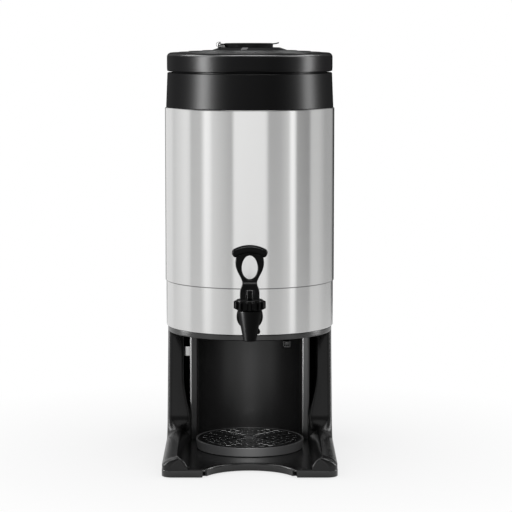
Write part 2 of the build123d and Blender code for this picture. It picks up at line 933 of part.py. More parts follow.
# Stem: a rod with a flat tongue for the lever pin
cup_low = throat_height + cup_low_rise
cup_top = cup_low + cup_height
tongue_low = ceiling + fit
stem_top = pin_height + stem_top_rise
with BuildPart() as tap_stem:
    with BuildSketch(Plane((0, tap_y, cup_top - cup_socket))):
        Circle(stem_radius)
    extrude(amount=stem_top - cup_top + cup_socket)
    with BuildSketch(Plane((0, tap_y, tongue_low))):
        Circle(stem_radius + overrun)
        Rectangle(2 * stem_tongue, 2 * (stem_radius + overrun), mode=Mode.SUBTRACT)
    extrude(amount=stem_top - tongue_low + overrun, mode=Mode.SUBTRACT)
    with BuildSketch(Plane(origin=(0, tap_y, pin_height), x_dir=(0, 1, 0), z_dir=(1, 0, 0))):
        Circle(pin_radius + snug)
    extrude(amount=stem_radius + overrun, both=True, mode=Mode.SUBTRACT)
finish(tap_stem, "tap_stem")

# Seat cup: a soft plug on the stem's foot that closes the throat
cup_points = [
    (0, cup_low),
    (cup_low_radius, cup_low),
    (cup_radius, cup_low + cup_taper),
    (cup_radius, cup_top),
    (stem_radius + snug, cup_top),
    (stem_radius + snug, cup_top - cup_socket),
    (0, cup_top - cup_socket),
]
with BuildPart() as seat_cup:
    revolve(profile(cup_points, plane=tap_section), axis=tap_axis)
finish(seat_cup, "seat_cup")

# Valve spring: a coil round the stem between the seat cup and the bonnet's roof
spring_low = cup_top + wire / 2 + snug
spring_rise = ceiling - snug - wire / 2 - spring_low
with BuildPart() as valve_spring:
    with BuildLine() as spring_path:
        coil(
            Vector(0, tap_y, spring_low),
            Vector(0, 0, 1),
            Vector(1, 0, 0),
            Vector(0, 1, 0),
            coil_radius,
            spring_rise / spring_turns,
            4 * spring_turns,
        )
    with BuildSketch(spring_path.wire() ^ 0):
        Circle(wire / 2)
    sweep(path=spring_path.wire())
print("valve spring gap", round(least_gap(spring_path.wire(), wire, coil_radius), 2))
finish(valve_spring, "valve_spring")

# Lever: a forked heel, a paddle with an egg-shaped hole and a bowed thumb bar
heel_low = bonnet_top + heel_gap
with BuildPart() as thumb_bar:
    with BuildSketch(tap_section.offset(-thumb_back)):
        with BuildLine():
            ThreePointArc((-thumb_half, thumb_end_top), (0, thumb_top), (thumb_half, thumb_end_top))
            Line((thumb_half, thumb_end_top), (thumb_end_half, thumb_end_low))
            ThreePointArc((thumb_end_half, thumb_end_low), (0, thumb_low), (-thumb_end_half, thumb_end_low))
            Line((-thumb_end_half, thumb_end_low), (-thumb_half, thumb_end_top))
        make_face()
    extrude(amount=thumb_front + thumb_back)
    fillet(thumb_bar.edges().filter_by(Axis.Y), thumb_round)
    fillet(thumb_bar.faces().filter_by(Axis.Y).edges(), thumb_edge)

heel_points = [
    (-heel_front, heel_low),
    (heel_back, heel_low),
    (heel_back, heel_low + heel_height),
    (neck_thick / 2, neck_height),
    (-neck_thick / 2, neck_height),
    (-heel_front, heel_low + heel_height),
]
lever_side = Plane(origin=(0, tap_y, 0), x_dir=(0, 1, 0), z_dir=(1, 0, 0))
paddle_points = [
    (paddle_half * width, neck_height + paddle_length * rise)
    for width, rise in zip(paddle_width_shares, paddle_height_shares)
]
slot_half = stem_tongue + fit
with BuildPart() as paddle:
    with BuildSketch(tap_section):
        with BuildLine():
            right_side = Spline(*paddle_points)
            left_side = mirror(right_side, about=Plane.YZ)
            Line(right_side @ 0, left_side @ 0)
            Line(right_side @ 1, left_side @ 1)
        make_face()
        with BuildLine():
            EllipticalCenterArc((0, hole_middle), hole_half, hole_up, 0, arc_size=180)
            EllipticalCenterArc((0, hole_middle), hole_half, hole_down, 180, arc_size=180)
        make_face(mode=Mode.SUBTRACT)
    extrude(amount=paddle_thick / 2, both=True)
    rounded = paddle.faces().filter_by(Axis.Y).edges().filter_by(GeomType.LINE, reverse=True)
    fillet(rounded, paddle_round)

with BuildPart() as tap_lever:
    with BuildSketch(tap_section):
        with BuildLine():
            Polyline(
                (-fork_half, heel_low),
                (fork_half, heel_low),
                (fork_half, heel_low + heel_height),
                (neck_half, neck_height),
                (-neck_half, neck_height),
                (-fork_half, heel_low + heel_height),
                close=True,
            )
        make_face()
    extrude(amount=heel_front + heel_back, both=True)
    extrude(profile(heel_points, plane=lever_side), amount=fork_half, both=True, mode=Mode.INTERSECT)
    fillet(tap_lever.edges().filter_by(lambda edge: (edge @ 0.5).Z > heel_low + snug), tap_round)
    add(paddle.part)
    add(thumb_bar.part)
    with BuildSketch(tap_section):
        with Locations((0, (heel_low + pin_height + fork_slot_rise) / 2)):
            Rectangle(2 * slot_half, pin_height + fork_slot_rise - heel_low + overrun)
    extrude(amount=heel_front + heel_back, both=True, mode=Mode.SUBTRACT)
    with BuildSketch(Plane(origin=(0, tap_y, pin_height), x_dir=(0, 1, 0), z_dir=(1, 0, 0))):
        Circle(pin_radius + snug)
    extrude(amount=fork_half + overrun, both=True, mode=Mode.SUBTRACT)
finish(tap_lever, "tap_lever")

with BuildPart() as lever_pin:
    with BuildSketch(Plane(origin=(0, tap_y, pin_height), x_dir=(0, 1, 0), z_dir=(1, 0, 0))):
        Circle(pin_radius)
    extrude(amount=fork_half, both=True)
finish(lever_pin, "lever_pin")

# Drip tray and its lift-out grate
tray_low = base_top + fit
tray_rim = tray_low + tray_height
ledge = tray_rim - grate_thick - fit
pocket = tray_radius - tray_wall
tray_points = [
    (0, tray_low),
    (tray_radius - tray_draft, tray_low),
    (tray_radius, tray_rim),
    (pocket, tray_rim),
    (pocket, ledge),
    (pocket - grate_ledge, ledge),
    (pocket - grate_ledge, tray_low + tray_floor),
    (0, tray_low + tray_floor),
]
with BuildPart() as drip_tray:
    revolve(profile(tray_points, [(2, tray_round)], plane=tray_section), axis=tray_axis)
finish(drip_tray, "drip_tray")

grate_radius = pocket - fit
slot_field = grate_radius - grate_rim - grate_hub
slot_step = slot_field / len(slot_counts)
slot_radii = [grate_hub + slot_step * (row + 0.5) for row in range(len(slot_counts))]
with BuildPart() as drip_grate:
    with BuildSketch(Plane((0, tray_y, ledge + fit))):
        Circle(grate_radius)
        for row, (radius, count) in enumerate(zip(slot_radii, slot_counts)):
            slot_span = 360 / count - (slot_width + slot_bar) / radius * 180 / pi
            for place in range(count):
                first = 360 / count * (place + row / 2)
                arc = CenterArc((0, 0), radius, first, slot_span, mode=Mode.PRIVATE)
                SlotArc(arc, slot_width, mode=Mode.SUBTRACT)
    extrude(amount=grate_thick)
finish(drip_grate, "drip_grate")

# Lid shell: a rim, a trough inside it, two low steps and a boss with the hinge ears
lid_radius = collar_high_radius + lid_overhang
trough_outer = lid_radius - lid_rim
trough_inner = trough_outer - trough_width
step_outer = boss_base + (trough_inner - boss_base) * step_outer_share
step_inner = boss_base + (trough_inner - boss_base) * step_inner_share
lid_under = lid_top - trough_depth - lid_wall
boss_top = lid_top + boss_rise
boss_foot = lid_top + boss_base_rise
hinge_height = boss_top + hinge_rise
hinge_reach = cap_radius + cap_shift + hinge_gap
ear_inner = knuckle_half + ear_gap
ear_outer = ear_inner + ear_width
lid_points = [
    (lid_radius - lid_draft, lid_low),
    (lid_radius, lid_low + lid_round),
    (lid_radius, lid_top),
    (trough_outer, lid_top),
    (trough_outer, lid_top - trough_depth),
    (trough_inner, lid_top - trough_depth),
    (trough_inner, lid_top + dome_rise),
    (step_outer, lid_top + step_outer_rise - ring_step),
    (step_outer - ring_step, lid_top + step_outer_rise),
    (step_inner, lid_top + step_inner_rise - ring_step),
    (step_inner - ring_step, lid_top + step_inner_rise),
    (boss_base, boss_foot),
    (boss_radius, boss_top),
    (funnel_rim + fit, boss_top),
    (funnel_rim + fit, boss_top - funnel_rim_height),
    (funnel_radius + fit, boss_top - funnel_rim_height),
    (funnel_radius + fit, lid_under),
    (lid_radius - lid_wall, lid_under),
    (lid_radius - lid_wall - lid_draft, lid_low),
]
rim_round = lid_rim - trough_round
notch_back = lid_radius - sqrt((lid_radius - lid_wall - lid_draft) ** 2 - thumb_notch_half**2)
notch_plane = section_plane.offset(lid_radius - notch_back - overrun)
vent_points = [
    (-vent_side - vent_width / 2, lid_top + vent_floor),
    (-vent_side + vent_width / 2, lid_top + vent_floor),
    (-vent_side + vent_width / 2 + vent_slant, lid_top + vent_floor + vent_height),
    (-vent_side - vent_width / 2 + vent_slant, lid_top + vent_floor + vent_height),
]
vent_plane = section_plane.offset(vent_reach - vent_depth / 2)
with BuildPart() as lid_shell:
    rim_face = profile(
        lid_points,
        [(2, rim_round), (3, trough_round / 2), (6, trough_round), (12, trough_round)],
    )
    revolve(rim_face, axis=vessel_axis)
    with BuildSketch(notch_plane):
        with BuildLine():
            ThreePointArc(
                (-thumb_notch_half, lid_low),
                (0, lid_low + thumb_notch_height),
                (thumb_notch_half, lid_low),
            )
            Polyline(
                (thumb_notch_half, lid_low),
                (thumb_notch_half, lid_low - overrun),
                (-thumb_notch_half, lid_low - overrun),
                (-thumb_notch_half, lid_low),
            )
        make_face()
    extrude(amount=notch_back + 2 * overrun, mode=Mode.SUBTRACT)
    for ear_front in (ear_outer, -ear_inner):
        with BuildSketch(section_plane.offset(ear_front)):
            with Locations((-hinge_reach, hinge_height)):
                Circle(knuckle_radius)
            with Locations((-hinge_reach, (boss_foot + hinge_height) / 2)):
                Rectangle(2 * knuckle_radius, hinge_height - boss_foot)
        extrude(amount=-ear_width)
    with BuildSketch(section_plane):
        with Locations((-hinge_reach, hinge_height)):
            Circle(hinge_pin_radius + snug)
    extrude(amount=ear_outer + overrun, both=True, mode=Mode.SUBTRACT)
    with BuildSketch(vent_plane.offset(-snug)):
        with BuildLine():
            Polyline(*vent_points, close=True)
        make_face()
        offset(amount=snug, mode=Mode.REPLACE)
    extrude(amount=vent_depth + 2 * snug, mode=Mode.SUBTRACT)
finish(lid_shell, "lid_shell")

with BuildPart() as vent_block:
    extrude(profile(vent_points, plane=vent_plane), amount=vent_depth)
finish(vent_block, "vent_block")

# Lid plug: an insulating ring that drops into the collar and the flask's neck
plug_outer = recess_radius - plug_gap
plug_neck = liner_neck - flask_sheet - plug_neck_gap
plug_flange = seat + fit
plug_low = plug_flange - plug_drop
plug_bore = funnel_radius + fit
plug_points = [
    (plug_bore, plug_low),
    (plug_neck, plug_low),
    (plug_neck, plug_flange),
    (plug_outer, plug_flange),
    (plug_outer, lid_under),
    (plug_outer - plug_wall, lid_under),
    (plug_outer - plug_wall, plug_flange + plug_wall),
    (plug_neck - plug_wall, plug_flange + plug_wall),
    (plug_neck - plug_wall, plug_low + plug_wall),
    (plug_bore + plug_wall, plug_low + plug_wall),
    (plug_bore + plug_wall, lid_under),
    (plug_bore, lid_under),
]
with BuildPart() as lid_plug:
    revolve(profile(plug_points), axis=vessel_axis)
finish(lid_plug, "lid_plug")

# Lid gasket: a soft ring round the plug's neck
gasket_low = plug_low + gasket_set
gasket_points = [
    (plug_neck + snug, gasket_low),
    (liner_neck - flask_sheet - gasket_gap, gasket_low),
    (liner_neck - flask_sheet - gasket_gap, gasket_low + gasket_height),
    (plug_neck + snug, gasket_low + gasket_height),
]
with BuildPart() as lid_gasket:
    revolve(profile(gasket_points), axis=vessel_axis)
finish(lid_gasket, "lid_gasket")

# Brew funnel: hangs in the boss by its rim and drips into the flask
funnel_low = boss_top - funnel_drop
funnel_points = [
    (funnel_rim, boss_top),
    (funnel_rim, boss_top - funnel_rim_height),
    (funnel_radius, boss_top - funnel_rim_height),
    (funnel_tube, funnel_low),
    (funnel_tube, funnel_low - funnel_tube_drop),
    (funnel_tube - funnel_wall, funnel_low - funnel_tube_drop),
    (funnel_tube - funnel_wall, funnel_low),
    (funnel_radius - funnel_wall, boss_top),
]
with BuildPart() as brew_funnel:
    revolve(profile(funnel_points), axis=vessel_axis)
finish(brew_funnel, "brew_funnel")

# Flip cap: a shallow cover with a finger tab, hung on a pin between the ears
cap_low = boss_top + fit
cap_top = cap_low + cap_height
tab_root = cap_radius - cap_shift - cap_wall
tab_reach = cap_radius - cap_shift + tab_length
cap_plane = Plane((-cap_shift, vessel_y, cap_low))
with BuildPart() as flip_cap:
    with BuildSketch(cap_plane):
        Circle(cap_radius)
    extrude(amount=cap_height)
    fillet(flip_cap.faces().sort_by(Axis.Z)[-1].edges(), cap_round)
    with BuildSketch(cap_plane):
        Circle(cap_radius - cap_wall)
    extrude(amount=cap_height - cap_roof, mode=Mode.SUBTRACT)
    with BuildSketch(section_plane):
        with BuildLine():
            Polyline(
                (tab_root, cap_top - tab_thick),
                (tab_root, cap_top - cap_round / 2),
                (tab_reach, cap_top + tab_rise),
                (tab_reach, cap_top + tab_rise - tab_thick),
                close=True,
            )
        make_face()
    extrude(amount=tab_half, both=True)
    with BuildSketch(section_plane):
        with Locations((-hinge_reach, hinge_height)):
            Circle(knuckle_radius)
        with Locations((-(hinge_reach + cap_radius + cap_shift - cap_wall) / 2, hinge_height)):
            Rectangle(hinge_reach - cap_radius - cap_shift + cap_wall, cap_roof)
    extrude(amount=knuckle_half, both=True)
    with BuildSketch(section_plane):
        with Locations((-hinge_reach, hinge_height)):
            Circle(hinge_pin_radius + snug)
    extrude(amount=knuckle_half + overrun, both=True, mode=Mode.SUBTRACT)
finish(flip_cap, "flip_cap")

with BuildPart() as cap_seal:
    with BuildSketch(cap_plane):
        Circle(cap_radius - cap_wall - snug)
        Circle(cap_radius - cap_wall - snug - seal_width, mode=Mode.SUBTRACT)
    extrude(amount=cap_height - cap_roof)
finish(cap_seal, "cap_seal")

pin_front = ear_outer + hinge_pin_overhang
with BuildPart() as cap_hinge_pin:
    with BuildSketch(section_plane.offset(-ear_outer)):
        with Locations((-hinge_reach, hinge_height)):
            Circle(hinge_pin_radius)
    extrude(amount=ear_outer + pin_front)
finish(cap_hinge_pin, "cap_hinge_pin")

# Hinge spring: loose turns on the front end of the hinge pin, with an arm over the boss
spring_back = vessel_y - ear_outer - hinge_wire / 2 - fit
with BuildPart() as cap_spring:
    with BuildLine() as cap_spring_path:
        (top_point, top_way), (low_point, low_way) = coil(
            Vector(-hinge_reach - hinge_coil_offset, spring_back, hinge_height),
            Vector(0, -1, 0),
            Vector(0, 0, 1),
            Vector(-1, 0, 0),
            hinge_coil_radius,
            hinge_coil_pitch,
            hinge_coil_quarters,
        )
        Line(top_point - top_way * hinge_short_arm, top_point)
        Line(low_point, low_point + low_way * hinge_long_arm)
    with BuildSketch(Plane(top_point - top_way * hinge_short_arm, z_dir=top_way)):
        Circle(hinge_wire / 2)
    sweep(path=cap_spring_path.wire())
print("cap spring gap", round(least_gap(cap_spring_path.wire(), hinge_wire, hinge_coil_radius), 2))
finish(cap_spring, "cap_spring")
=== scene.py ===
import json
import math

import bmesh
import bpy
import numpy as np
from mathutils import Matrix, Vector

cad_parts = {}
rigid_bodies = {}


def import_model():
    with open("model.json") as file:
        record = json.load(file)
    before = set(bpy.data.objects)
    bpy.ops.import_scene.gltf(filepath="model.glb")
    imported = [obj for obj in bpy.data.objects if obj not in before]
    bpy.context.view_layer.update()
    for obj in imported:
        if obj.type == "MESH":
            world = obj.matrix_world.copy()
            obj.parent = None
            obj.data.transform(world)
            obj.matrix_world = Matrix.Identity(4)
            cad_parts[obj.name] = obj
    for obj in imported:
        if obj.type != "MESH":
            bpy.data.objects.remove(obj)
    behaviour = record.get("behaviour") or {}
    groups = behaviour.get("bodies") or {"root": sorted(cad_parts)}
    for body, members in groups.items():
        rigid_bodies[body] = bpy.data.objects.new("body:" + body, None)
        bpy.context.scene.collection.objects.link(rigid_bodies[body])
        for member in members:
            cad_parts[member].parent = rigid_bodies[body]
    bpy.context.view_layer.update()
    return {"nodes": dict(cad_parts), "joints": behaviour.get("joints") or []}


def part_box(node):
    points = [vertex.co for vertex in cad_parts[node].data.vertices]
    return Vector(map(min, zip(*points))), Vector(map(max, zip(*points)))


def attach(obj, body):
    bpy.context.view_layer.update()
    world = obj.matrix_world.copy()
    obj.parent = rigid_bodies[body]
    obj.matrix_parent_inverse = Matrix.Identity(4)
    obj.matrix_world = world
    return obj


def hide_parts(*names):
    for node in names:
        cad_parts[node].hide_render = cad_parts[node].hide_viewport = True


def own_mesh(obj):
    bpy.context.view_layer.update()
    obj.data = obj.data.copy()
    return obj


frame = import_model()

bl_info = {
    "name": "Coffee server dressing",
    "version": (1, 0, 0),
    "blender": (4, 5, 0),
    "location": "3D View > Sidebar > Coffee server",
    "description": "Builds the visible surfaces of an insulated coffee server round its packed solids",
    "category": "Object",
}

# Lengths below are millimetres in the solids' own frame, and become metres where a mesh is made.
MM = 0.001
FULL_TURN = 2 * math.pi
QUARTER = math.pi / 2


def limits(node):
    """Lowest and highest corner of a solid."""
    low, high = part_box(node)
    return np.array(low) / MM, np.array(high) / MM


SHELL_LOW, SHELL_HIGH = limits("steel_shell")
SKIRT_LOW, SKIRT_HIGH = limits("steel_skirt")
RING_LOW, RING_HIGH = limits("body_ring")
COLLAR_LOW, COLLAR_HIGH = limits("top_collar")
LID_LOW, LID_HIGH = limits("lid_shell")
CAP_LOW, CAP_HIGH = limits("flip_cap")
BASE_LOW, BASE_HIGH = limits("base_plate")
TAP_LOW, TAP_HIGH = limits("tap_body")
NUT_LOW, NUT_HIGH = limits("bonnet_nut")
FLANGE_LOW, FLANGE_HIGH = limits("tap_flange_nut")
LEVER_LOW, LEVER_HIGH = limits("tap_lever")
TRAY_LOW, TRAY_HIGH = limits("drip_tray")
GRATE_LOW, GRATE_HIGH = limits("drip_grate")

# Axes and levels that several pieces share
VESSEL_Y = (SHELL_LOW[1] + SHELL_HIGH[1]) / 2
TAP_Y = (NUT_LOW[1] + NUT_HIGH[1]) / 2
TRAY_Y = (TRAY_LOW[1] + TRAY_HIGH[1]) / 2
BASE_TOP = BASE_HIGH[2]
STAND_TOP = limits("right_leg")[1][2]
LID_TOP = 533.6


# Outlines and grids


def rounded(corners, steps=6, most=0.88, hold=0.3, spare=0.3):
    """Closed outline through corners (x, y, radius). An arc tangent to both sides replaces a corner that has
    a radius, and takes at most a share of each side. A holding point just before and after it keeps flat
    sides flat when they are shaded, and takes at most a share of what is left."""
    spots = np.array([corner[:2] for corner in corners], float)
    befores, afters = np.roll(spots, 1, 0), np.roll(spots, -1, 0)
    share = np.linspace(0, 1, steps + 1)[:, None]
    runs = []
    for here, before, after, (_, _, radius) in zip(spots, befores, afters, corners):
        if not radius:
            runs.append(here[None])
            continue
        back_length, ahead_length = np.hypot(*(before - here)), np.hypot(*(after - here))
        back, ahead = (before - here) / back_length, (after - here) / ahead_length
        half = math.acos(np.clip(back @ ahead, -1, 1)) / 2
        reach = min(radius / math.tan(half), most * back_length, most * ahead_length)
        centre = here + (back + ahead) / np.hypot(*(back + ahead)) * reach / math.cos(half)
        first, last = here + back * reach - centre, here + ahead * reach - centre
        sweep = math.pi - 2 * half
        arc = centre + (np.sin((1 - share) * sweep) * first + np.sin(share * sweep) * last) / math.sin(sweep)
        lead = back * (reach + min(hold, spare * (back_length - reach)))
        tail = ahead * (reach + min(hold, spare * (ahead_length - reach)))
        runs.append(np.vstack([here + lead, arc, here + tail]))
    return np.vstack(runs)


def turned(profile, sides=288, x=0.0, y=0.0):
    """Surface of revolution: the points (radius, height) of a profile go round the upright axis at (x, y)."""
    turn = np.linspace(0, FULL_TURN, sides, endpoint=False)
    radius, height = profile[:, :1], profile[:, 1:]
    level = np.broadcast_to(height, (len(profile), sides))
    return np.dstack([x + radius * np.cos(turn), y + radius * np.sin(turn), level])


def lying(grid, height):
    """The same grid with its upright axis laid along Y at a height: (x, y, z) goes to (x, z, height + y)."""
    return np.dstack([grid[..., 0], grid[..., 2], height + grid[..., 1]])


def standing(loop, levels):
    """Upright walls: one loop of points (x, y) repeated at each level."""
    levels = np.asarray(levels, float)[:, None]
    shape = (len(levels), len(loop))
    return np.dstack([
        np.broadcast_to(loop[:, 0], shape),
        np.broadcast_to(loop[:, 1], shape),
        np.broadcast_to(levels, shape),
    ])


def round_rectangle(width, depth, radius, steps=4):
    """Loop of a rectangle with round corners about zero. Each size may be an array, a value for each loop."""
    sizes = (width, depth, radius)
    width, depth, radius = (np.atleast_1d(np.asarray(size, float))[:, None] for size in sizes)
    corner = np.repeat(np.arange(4), steps + 1)
    angle = corner * QUARTER + np.tile(np.linspace(0, QUARTER, steps + 1), 4)
    across, along = np.array([1, -1, -1, 1])[corner], np.array([1, 1, -1, -1])[corner]
    x = across * (width / 2 - radius) + radius * np.cos(angle)
    y = along * (depth / 2 - radius) + radius * np.sin(angle)
    return x, y


def block(width, depth, height, upright, rim, steps=4, least=0.05):
    """Box with round upright edges and round rims: rounded rectangles stacked up from zero, drawn in towards
    both ends by rim (1 - sin a) while they rise by rim (1 - cos a)."""
    ease = np.linspace(0, QUARTER, steps + 1)
    inset = rim * (1 - np.sin(ease))
    rise = rim * (1 - np.cos(ease))
    inset = np.concatenate([inset, inset[::-1]])
    level = np.concatenate([rise, height - rise[::-1]])
    x, y = round_rectangle(width - 2 * inset, depth - 2 * inset, np.maximum(upright - inset, least))
    return np.dstack([x, y, np.broadcast_to(level[:, None], x.shape)])


def wire_tube(path, radius, guide, sides=14):
    """Round wire: at each point of a path a circle stands across the path, and the ends close in a dome."""
    way = np.gradient(path, axis=0)
    way /= np.linalg.norm(way, axis=1, keepdims=True)
    side = np.cross(way, guide)
    side /= np.linalg.norm(side, axis=1, keepdims=True)
    up = np.cross(side, way)
    dome = np.linspace(0, QUARTER, 5)[:-1]
    path = np.vstack([
        path[0] - np.outer(radius * np.cos(dome), way[0]), path,
        path[-1] + np.outer(radius * np.cos(dome[::-1]), way[-1])])
    ends = ((len(dome), len(dome)), (0, 0))
    side, up = np.pad(side, ends, "edge"), np.pad(up, ends, "edge")
    size = radius * np.concatenate([np.sin(dome), np.ones(len(way)), np.sin(dome[::-1])])[:, None, None]
    turn = np.linspace(0, FULL_TURN, sides, endpoint=False)[None, :, None]
    return path[:, None] + size * (np.cos(turn) * side[:, None] + np.sin(turn) * up[:, None])


def smooth(share):
    """Ease from 0 to 1: 3 s squared less 2 s cubed, held at both ends."""
    share = np.clip(share, 0, 1)
    return share * share * (3 - 2 * share)


class Shells:
    """Closed grids of points, gathered into one mesh."""

    def __init__(self):
        self.points, self.faces, self.count = [], [], 0

    def add(self, grid, ring=False, caps=False):
        """A grid [row, column] of points. Quads join its neighbours and its last column to the first, and in
        a ring its last row to the first as well. Points that coincide become one, so that poles close, and
        caps close the first and the last row."""
        high, wide = grid.shape[:2]
        index = np.arange(high * wide).reshape(high, wide)
        ends = [index[0], index[-1]] if caps else []
        if ring:
            index = np.vstack([index, index[:1]])
        index = np.hstack([index, index[:, :1]])
        quads = np.stack([index[:-1, :-1], index[:-1, 1:], index[1:, 1:], index[1:, :-1]], -1).reshape(-1, 4)
        spots = grid.reshape(-1, 3)
        _, first, back = np.unique(np.round(spots, 5), axis=0, return_index=True, return_inverse=True)
        back = back.reshape(-1)
        quads = back[quads]
        same = quads == np.roll(quads, -1, axis=1)
        thin = quads[same.sum(1) == 1]
        thirds = thin[thin != np.roll(thin, -1, axis=1)].reshape(-1, 3)
        self.faces += (quads[~same.any(1)] + self.count).tolist() + (thirds + self.count).tolist()
        for end in ends:
            self.faces.append((back[end] + self.count).tolist())
        self.points.append(spots[first])
        self.count += len(first)
        return self

    def make(self, name, body, slot, finish, *nodes, crease=38.0):
        """Turn the faces outwards, shade them smooth up to an angle, and hang the piece on its body."""
        mesh = bpy.data.meshes.new(name)
        mesh.from_pydata(np.vstack(self.points) * MM, [], self.faces)
        turn = bmesh.new()
        turn.from_mesh(mesh)
        bmesh.ops.recalc_face_normals(turn, faces=turn.faces)
        turn.to_mesh(mesh)
        turn.free()
        mesh.polygons.foreach_set("use_smooth", np.ones(len(mesh.polygons), bool))
        mesh.set_sharp_from_angle(angle=math.radians(crease))
        mesh.materials.append(finish)
        piece = bpy.data.objects.new(name, mesh)
        bpy.context.scene.collection.objects.link(piece)
        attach(piece, body)
        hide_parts(*nodes)
        return piece


# Finishes


class Wire:
    """An output socket whose arithmetic adds Math nodes."""

    def __init__(self, finish, socket):
        self.finish, self.socket = finish, socket

    def math(self, operation, first, second):
        """A Math node on two sockets or numbers."""
        return self.finish.node("ShaderNodeMath", {"operation": operation}, {0: first, 1: second})

    def __add__(self, other):
        return self.math("ADD", self, other)

    def __sub__(self, other):
        return self.math("SUBTRACT", self, other)

    def __rsub__(self, other):
        return self.math("SUBTRACT", other, self)

    def __mul__(self, other):
        return self.math("MULTIPLY", self, other)

    def __truediv__(self, other):
        return self.math("DIVIDE", self, other)

    def __rtruediv__(self, other):
        return self.math("DIVIDE", other, self)

    __radd__, __rmul__ = __add__, __mul__


class Finish:
    """A node tree for a material or a world, and the one way to add nodes to it."""

    def __init__(self, holder):
        holder.use_nodes = True
        self.holder, self.tree = holder, holder.node_tree
        self.tree.nodes.clear()

    def node(self, kind, settings=None, inputs=None, output=0):
        """A node of a kind, with its settings set first and then the values or links of its sockets."""
        made = self.tree.nodes.new(kind)
        for key, value in (settings or {}).items():
            if key == "stops":
                stops = made.color_ramp.elements
                for place, _ in value[2:]:
                    stops.new(place)
                for stop, (place, level) in zip(stops, value):
                    stop.position, stop.color = place, (level, level, level, 1)
            else:
                setattr(made, key, value)
        for key, value in (inputs or {}).items():
            if isinstance(value, Wire):
                self.tree.links.new(value.socket, made.inputs[key])
            else:
                made.inputs[key].default_value = value
        return Wire(self, made.outputs[output]) if made.outputs else None

    def spot(self):
        """Object coordinates, which are the solids' own frame in metres."""
        return self.node("ShaderNodeTexCoord", output="Object")

    def height(self):
        """Height above the floor at rest."""
        return self.node("ShaderNodeSeparateXYZ", {}, {"Vector": self.spot()}, "Z")

    def spread(self, value, low, high, first=0.0, last=1.0):
        """A value carried from the range low to high into the range first to last, and held at both ends."""
        return self.node("ShaderNodeMapRange", {}, {
            "Value": value, "From Min": low, "From Max": high, "To Min": first, "To Max": last})

    def noise(self, scale, detail=2.0, roughness=0.5):
        """Noise between 0 and 1 with its own scale along each axis."""
        place = self.node("ShaderNodeMapping", {}, {"Vector": self.spot(), "Scale": scale})
        return self.node("ShaderNodeTexNoise", {}, {
            "Vector": place, "Scale": 1.0, "Detail": detail, "Roughness": roughness})

    def blend(self, share, first, second):
        """Colour mixed by a share. Sockets 6 and 7 hold the two colours, and output 2 the mixed one."""
        return self.node("ShaderNodeMix", {"data_type": "RGBA"}, {0: share, 6: first, 7: second}, 2)

    def bump(self, height, strength, distance=0.0002):
        """Normal of a small relief."""
        return self.node("ShaderNodeBump", {}, {"Height": height, "Strength": strength, "Distance": distance})

    def surface(self, **sockets):
        """Principled surface as the material's output."""
        shader = self.node("ShaderNodeBsdfPrincipled", {}, sockets)
        self.node("ShaderNodeOutputMaterial", {}, {"Surface": shader})
        return self.holder


def tint(colour, level):
    """A colour made lighter or darker, with full alpha."""
    return (*(min(1.0, part * level) for part in colour), 1.0)


def brushed(name, colour, roughness, lap, grain=2400.0, reach=22.0):
    """Brushed sheet: fine lines run round the vessel, as noise stretched along X and Y and squeezed along Z.
    They lighten and dull the metal a little, and the gloss spreads across them. Painted shade: within about a
    millimetre above and below the lap the colour goes dark, as a painted shadow line at the seam."""
    finish = Finish(bpy.data.materials.new(name))
    # Painted shade: a mask by height that darkens the colour near the lap, standing in for the seam's shadow
    distance_to_painted_seam_shade = finish.node("ShaderNodeMath", {"operation": "ABSOLUTE"}, {0: finish.height() - lap})
    clear = finish.spread(distance_to_painted_seam_shade, 0.5 * MM, 0.9 * MM)
    fine = finish.noise((reach, reach, grain), 3.0, 0.6)
    broad = finish.noise((reach * 0.2, reach * 0.2, grain * 0.16), 2.0)
    lines = fine * 0.7 + broad * 0.3
    steel = finish.blend(lines, tint(colour, 0.96), tint(colour, 1.04))
    return finish.surface(**{
        "Base Color": finish.blend(clear, tint(colour, 0.3), steel),
        "Metallic": 1.0,
        "Roughness": lines * 0.08 + (roughness - 0.04),
        "Anisotropic": 1.0,
        "Anisotropic Rotation": 0.25,
        "Normal": finish.bump(fine, 0.02),
    })


def moulded(name, colour, roughness, grain, relief, smudge, gloss=0.5, sheen=0.0, polish=None):
    """Moulded plastic: a fine spark-eroded grain in relief, with slow changes of shade and sheen over the
    piece. A satin one shines by a faint clear coat. Polish gives a height above which there is more of the
    coat, how much, and how rough it is."""
    finish = Finish(bpy.data.materials.new(name))
    speck = finish.noise((grain, grain, grain), 2.0, 0.6)
    haze = finish.noise((18.0, 18.0, 18.0), 3.0, 0.55)
    coat, coat_roughness = sheen, roughness
    if polish:
        start, most, coat_roughness = polish
        coat = finish.spread(finish.height(), start, start + 1.0 * MM, sheen, most)
    return finish.surface(**{
        "Base Color": finish.blend(haze, tint(colour, 0.86), tint(colour, 1.14)),
        "Roughness": roughness + (haze * (2 * smudge) + speck * 0.04 - (smudge + 0.02)),
        "Specular IOR Level": gloss,
        "Coat Weight": coat,
        "Coat Roughness": coat_roughness,
        "Normal": finish.bump(speck, relief),
    })


def plain_metal(name, colour, roughness, grain=900.0):
    """Plain metal: small scratches and patches change its sheen."""
    finish = Finish(bpy.data.materials.new(name))
    speck = finish.noise((grain, grain, grain * 0.4), 3.0, 0.6)
    patch = finish.noise((35.0, 35.0, 35.0), 2.0)
    return finish.surface(**{
        "Base Color": finish.blend(patch, tint(colour, 0.92), tint(colour, 1.05)),
        "Metallic": 1.0,
        "Roughness": speck * 0.12 + patch * 0.08 + (roughness - 0.1),
        "Normal": finish.bump(speck, 0.05),
    })


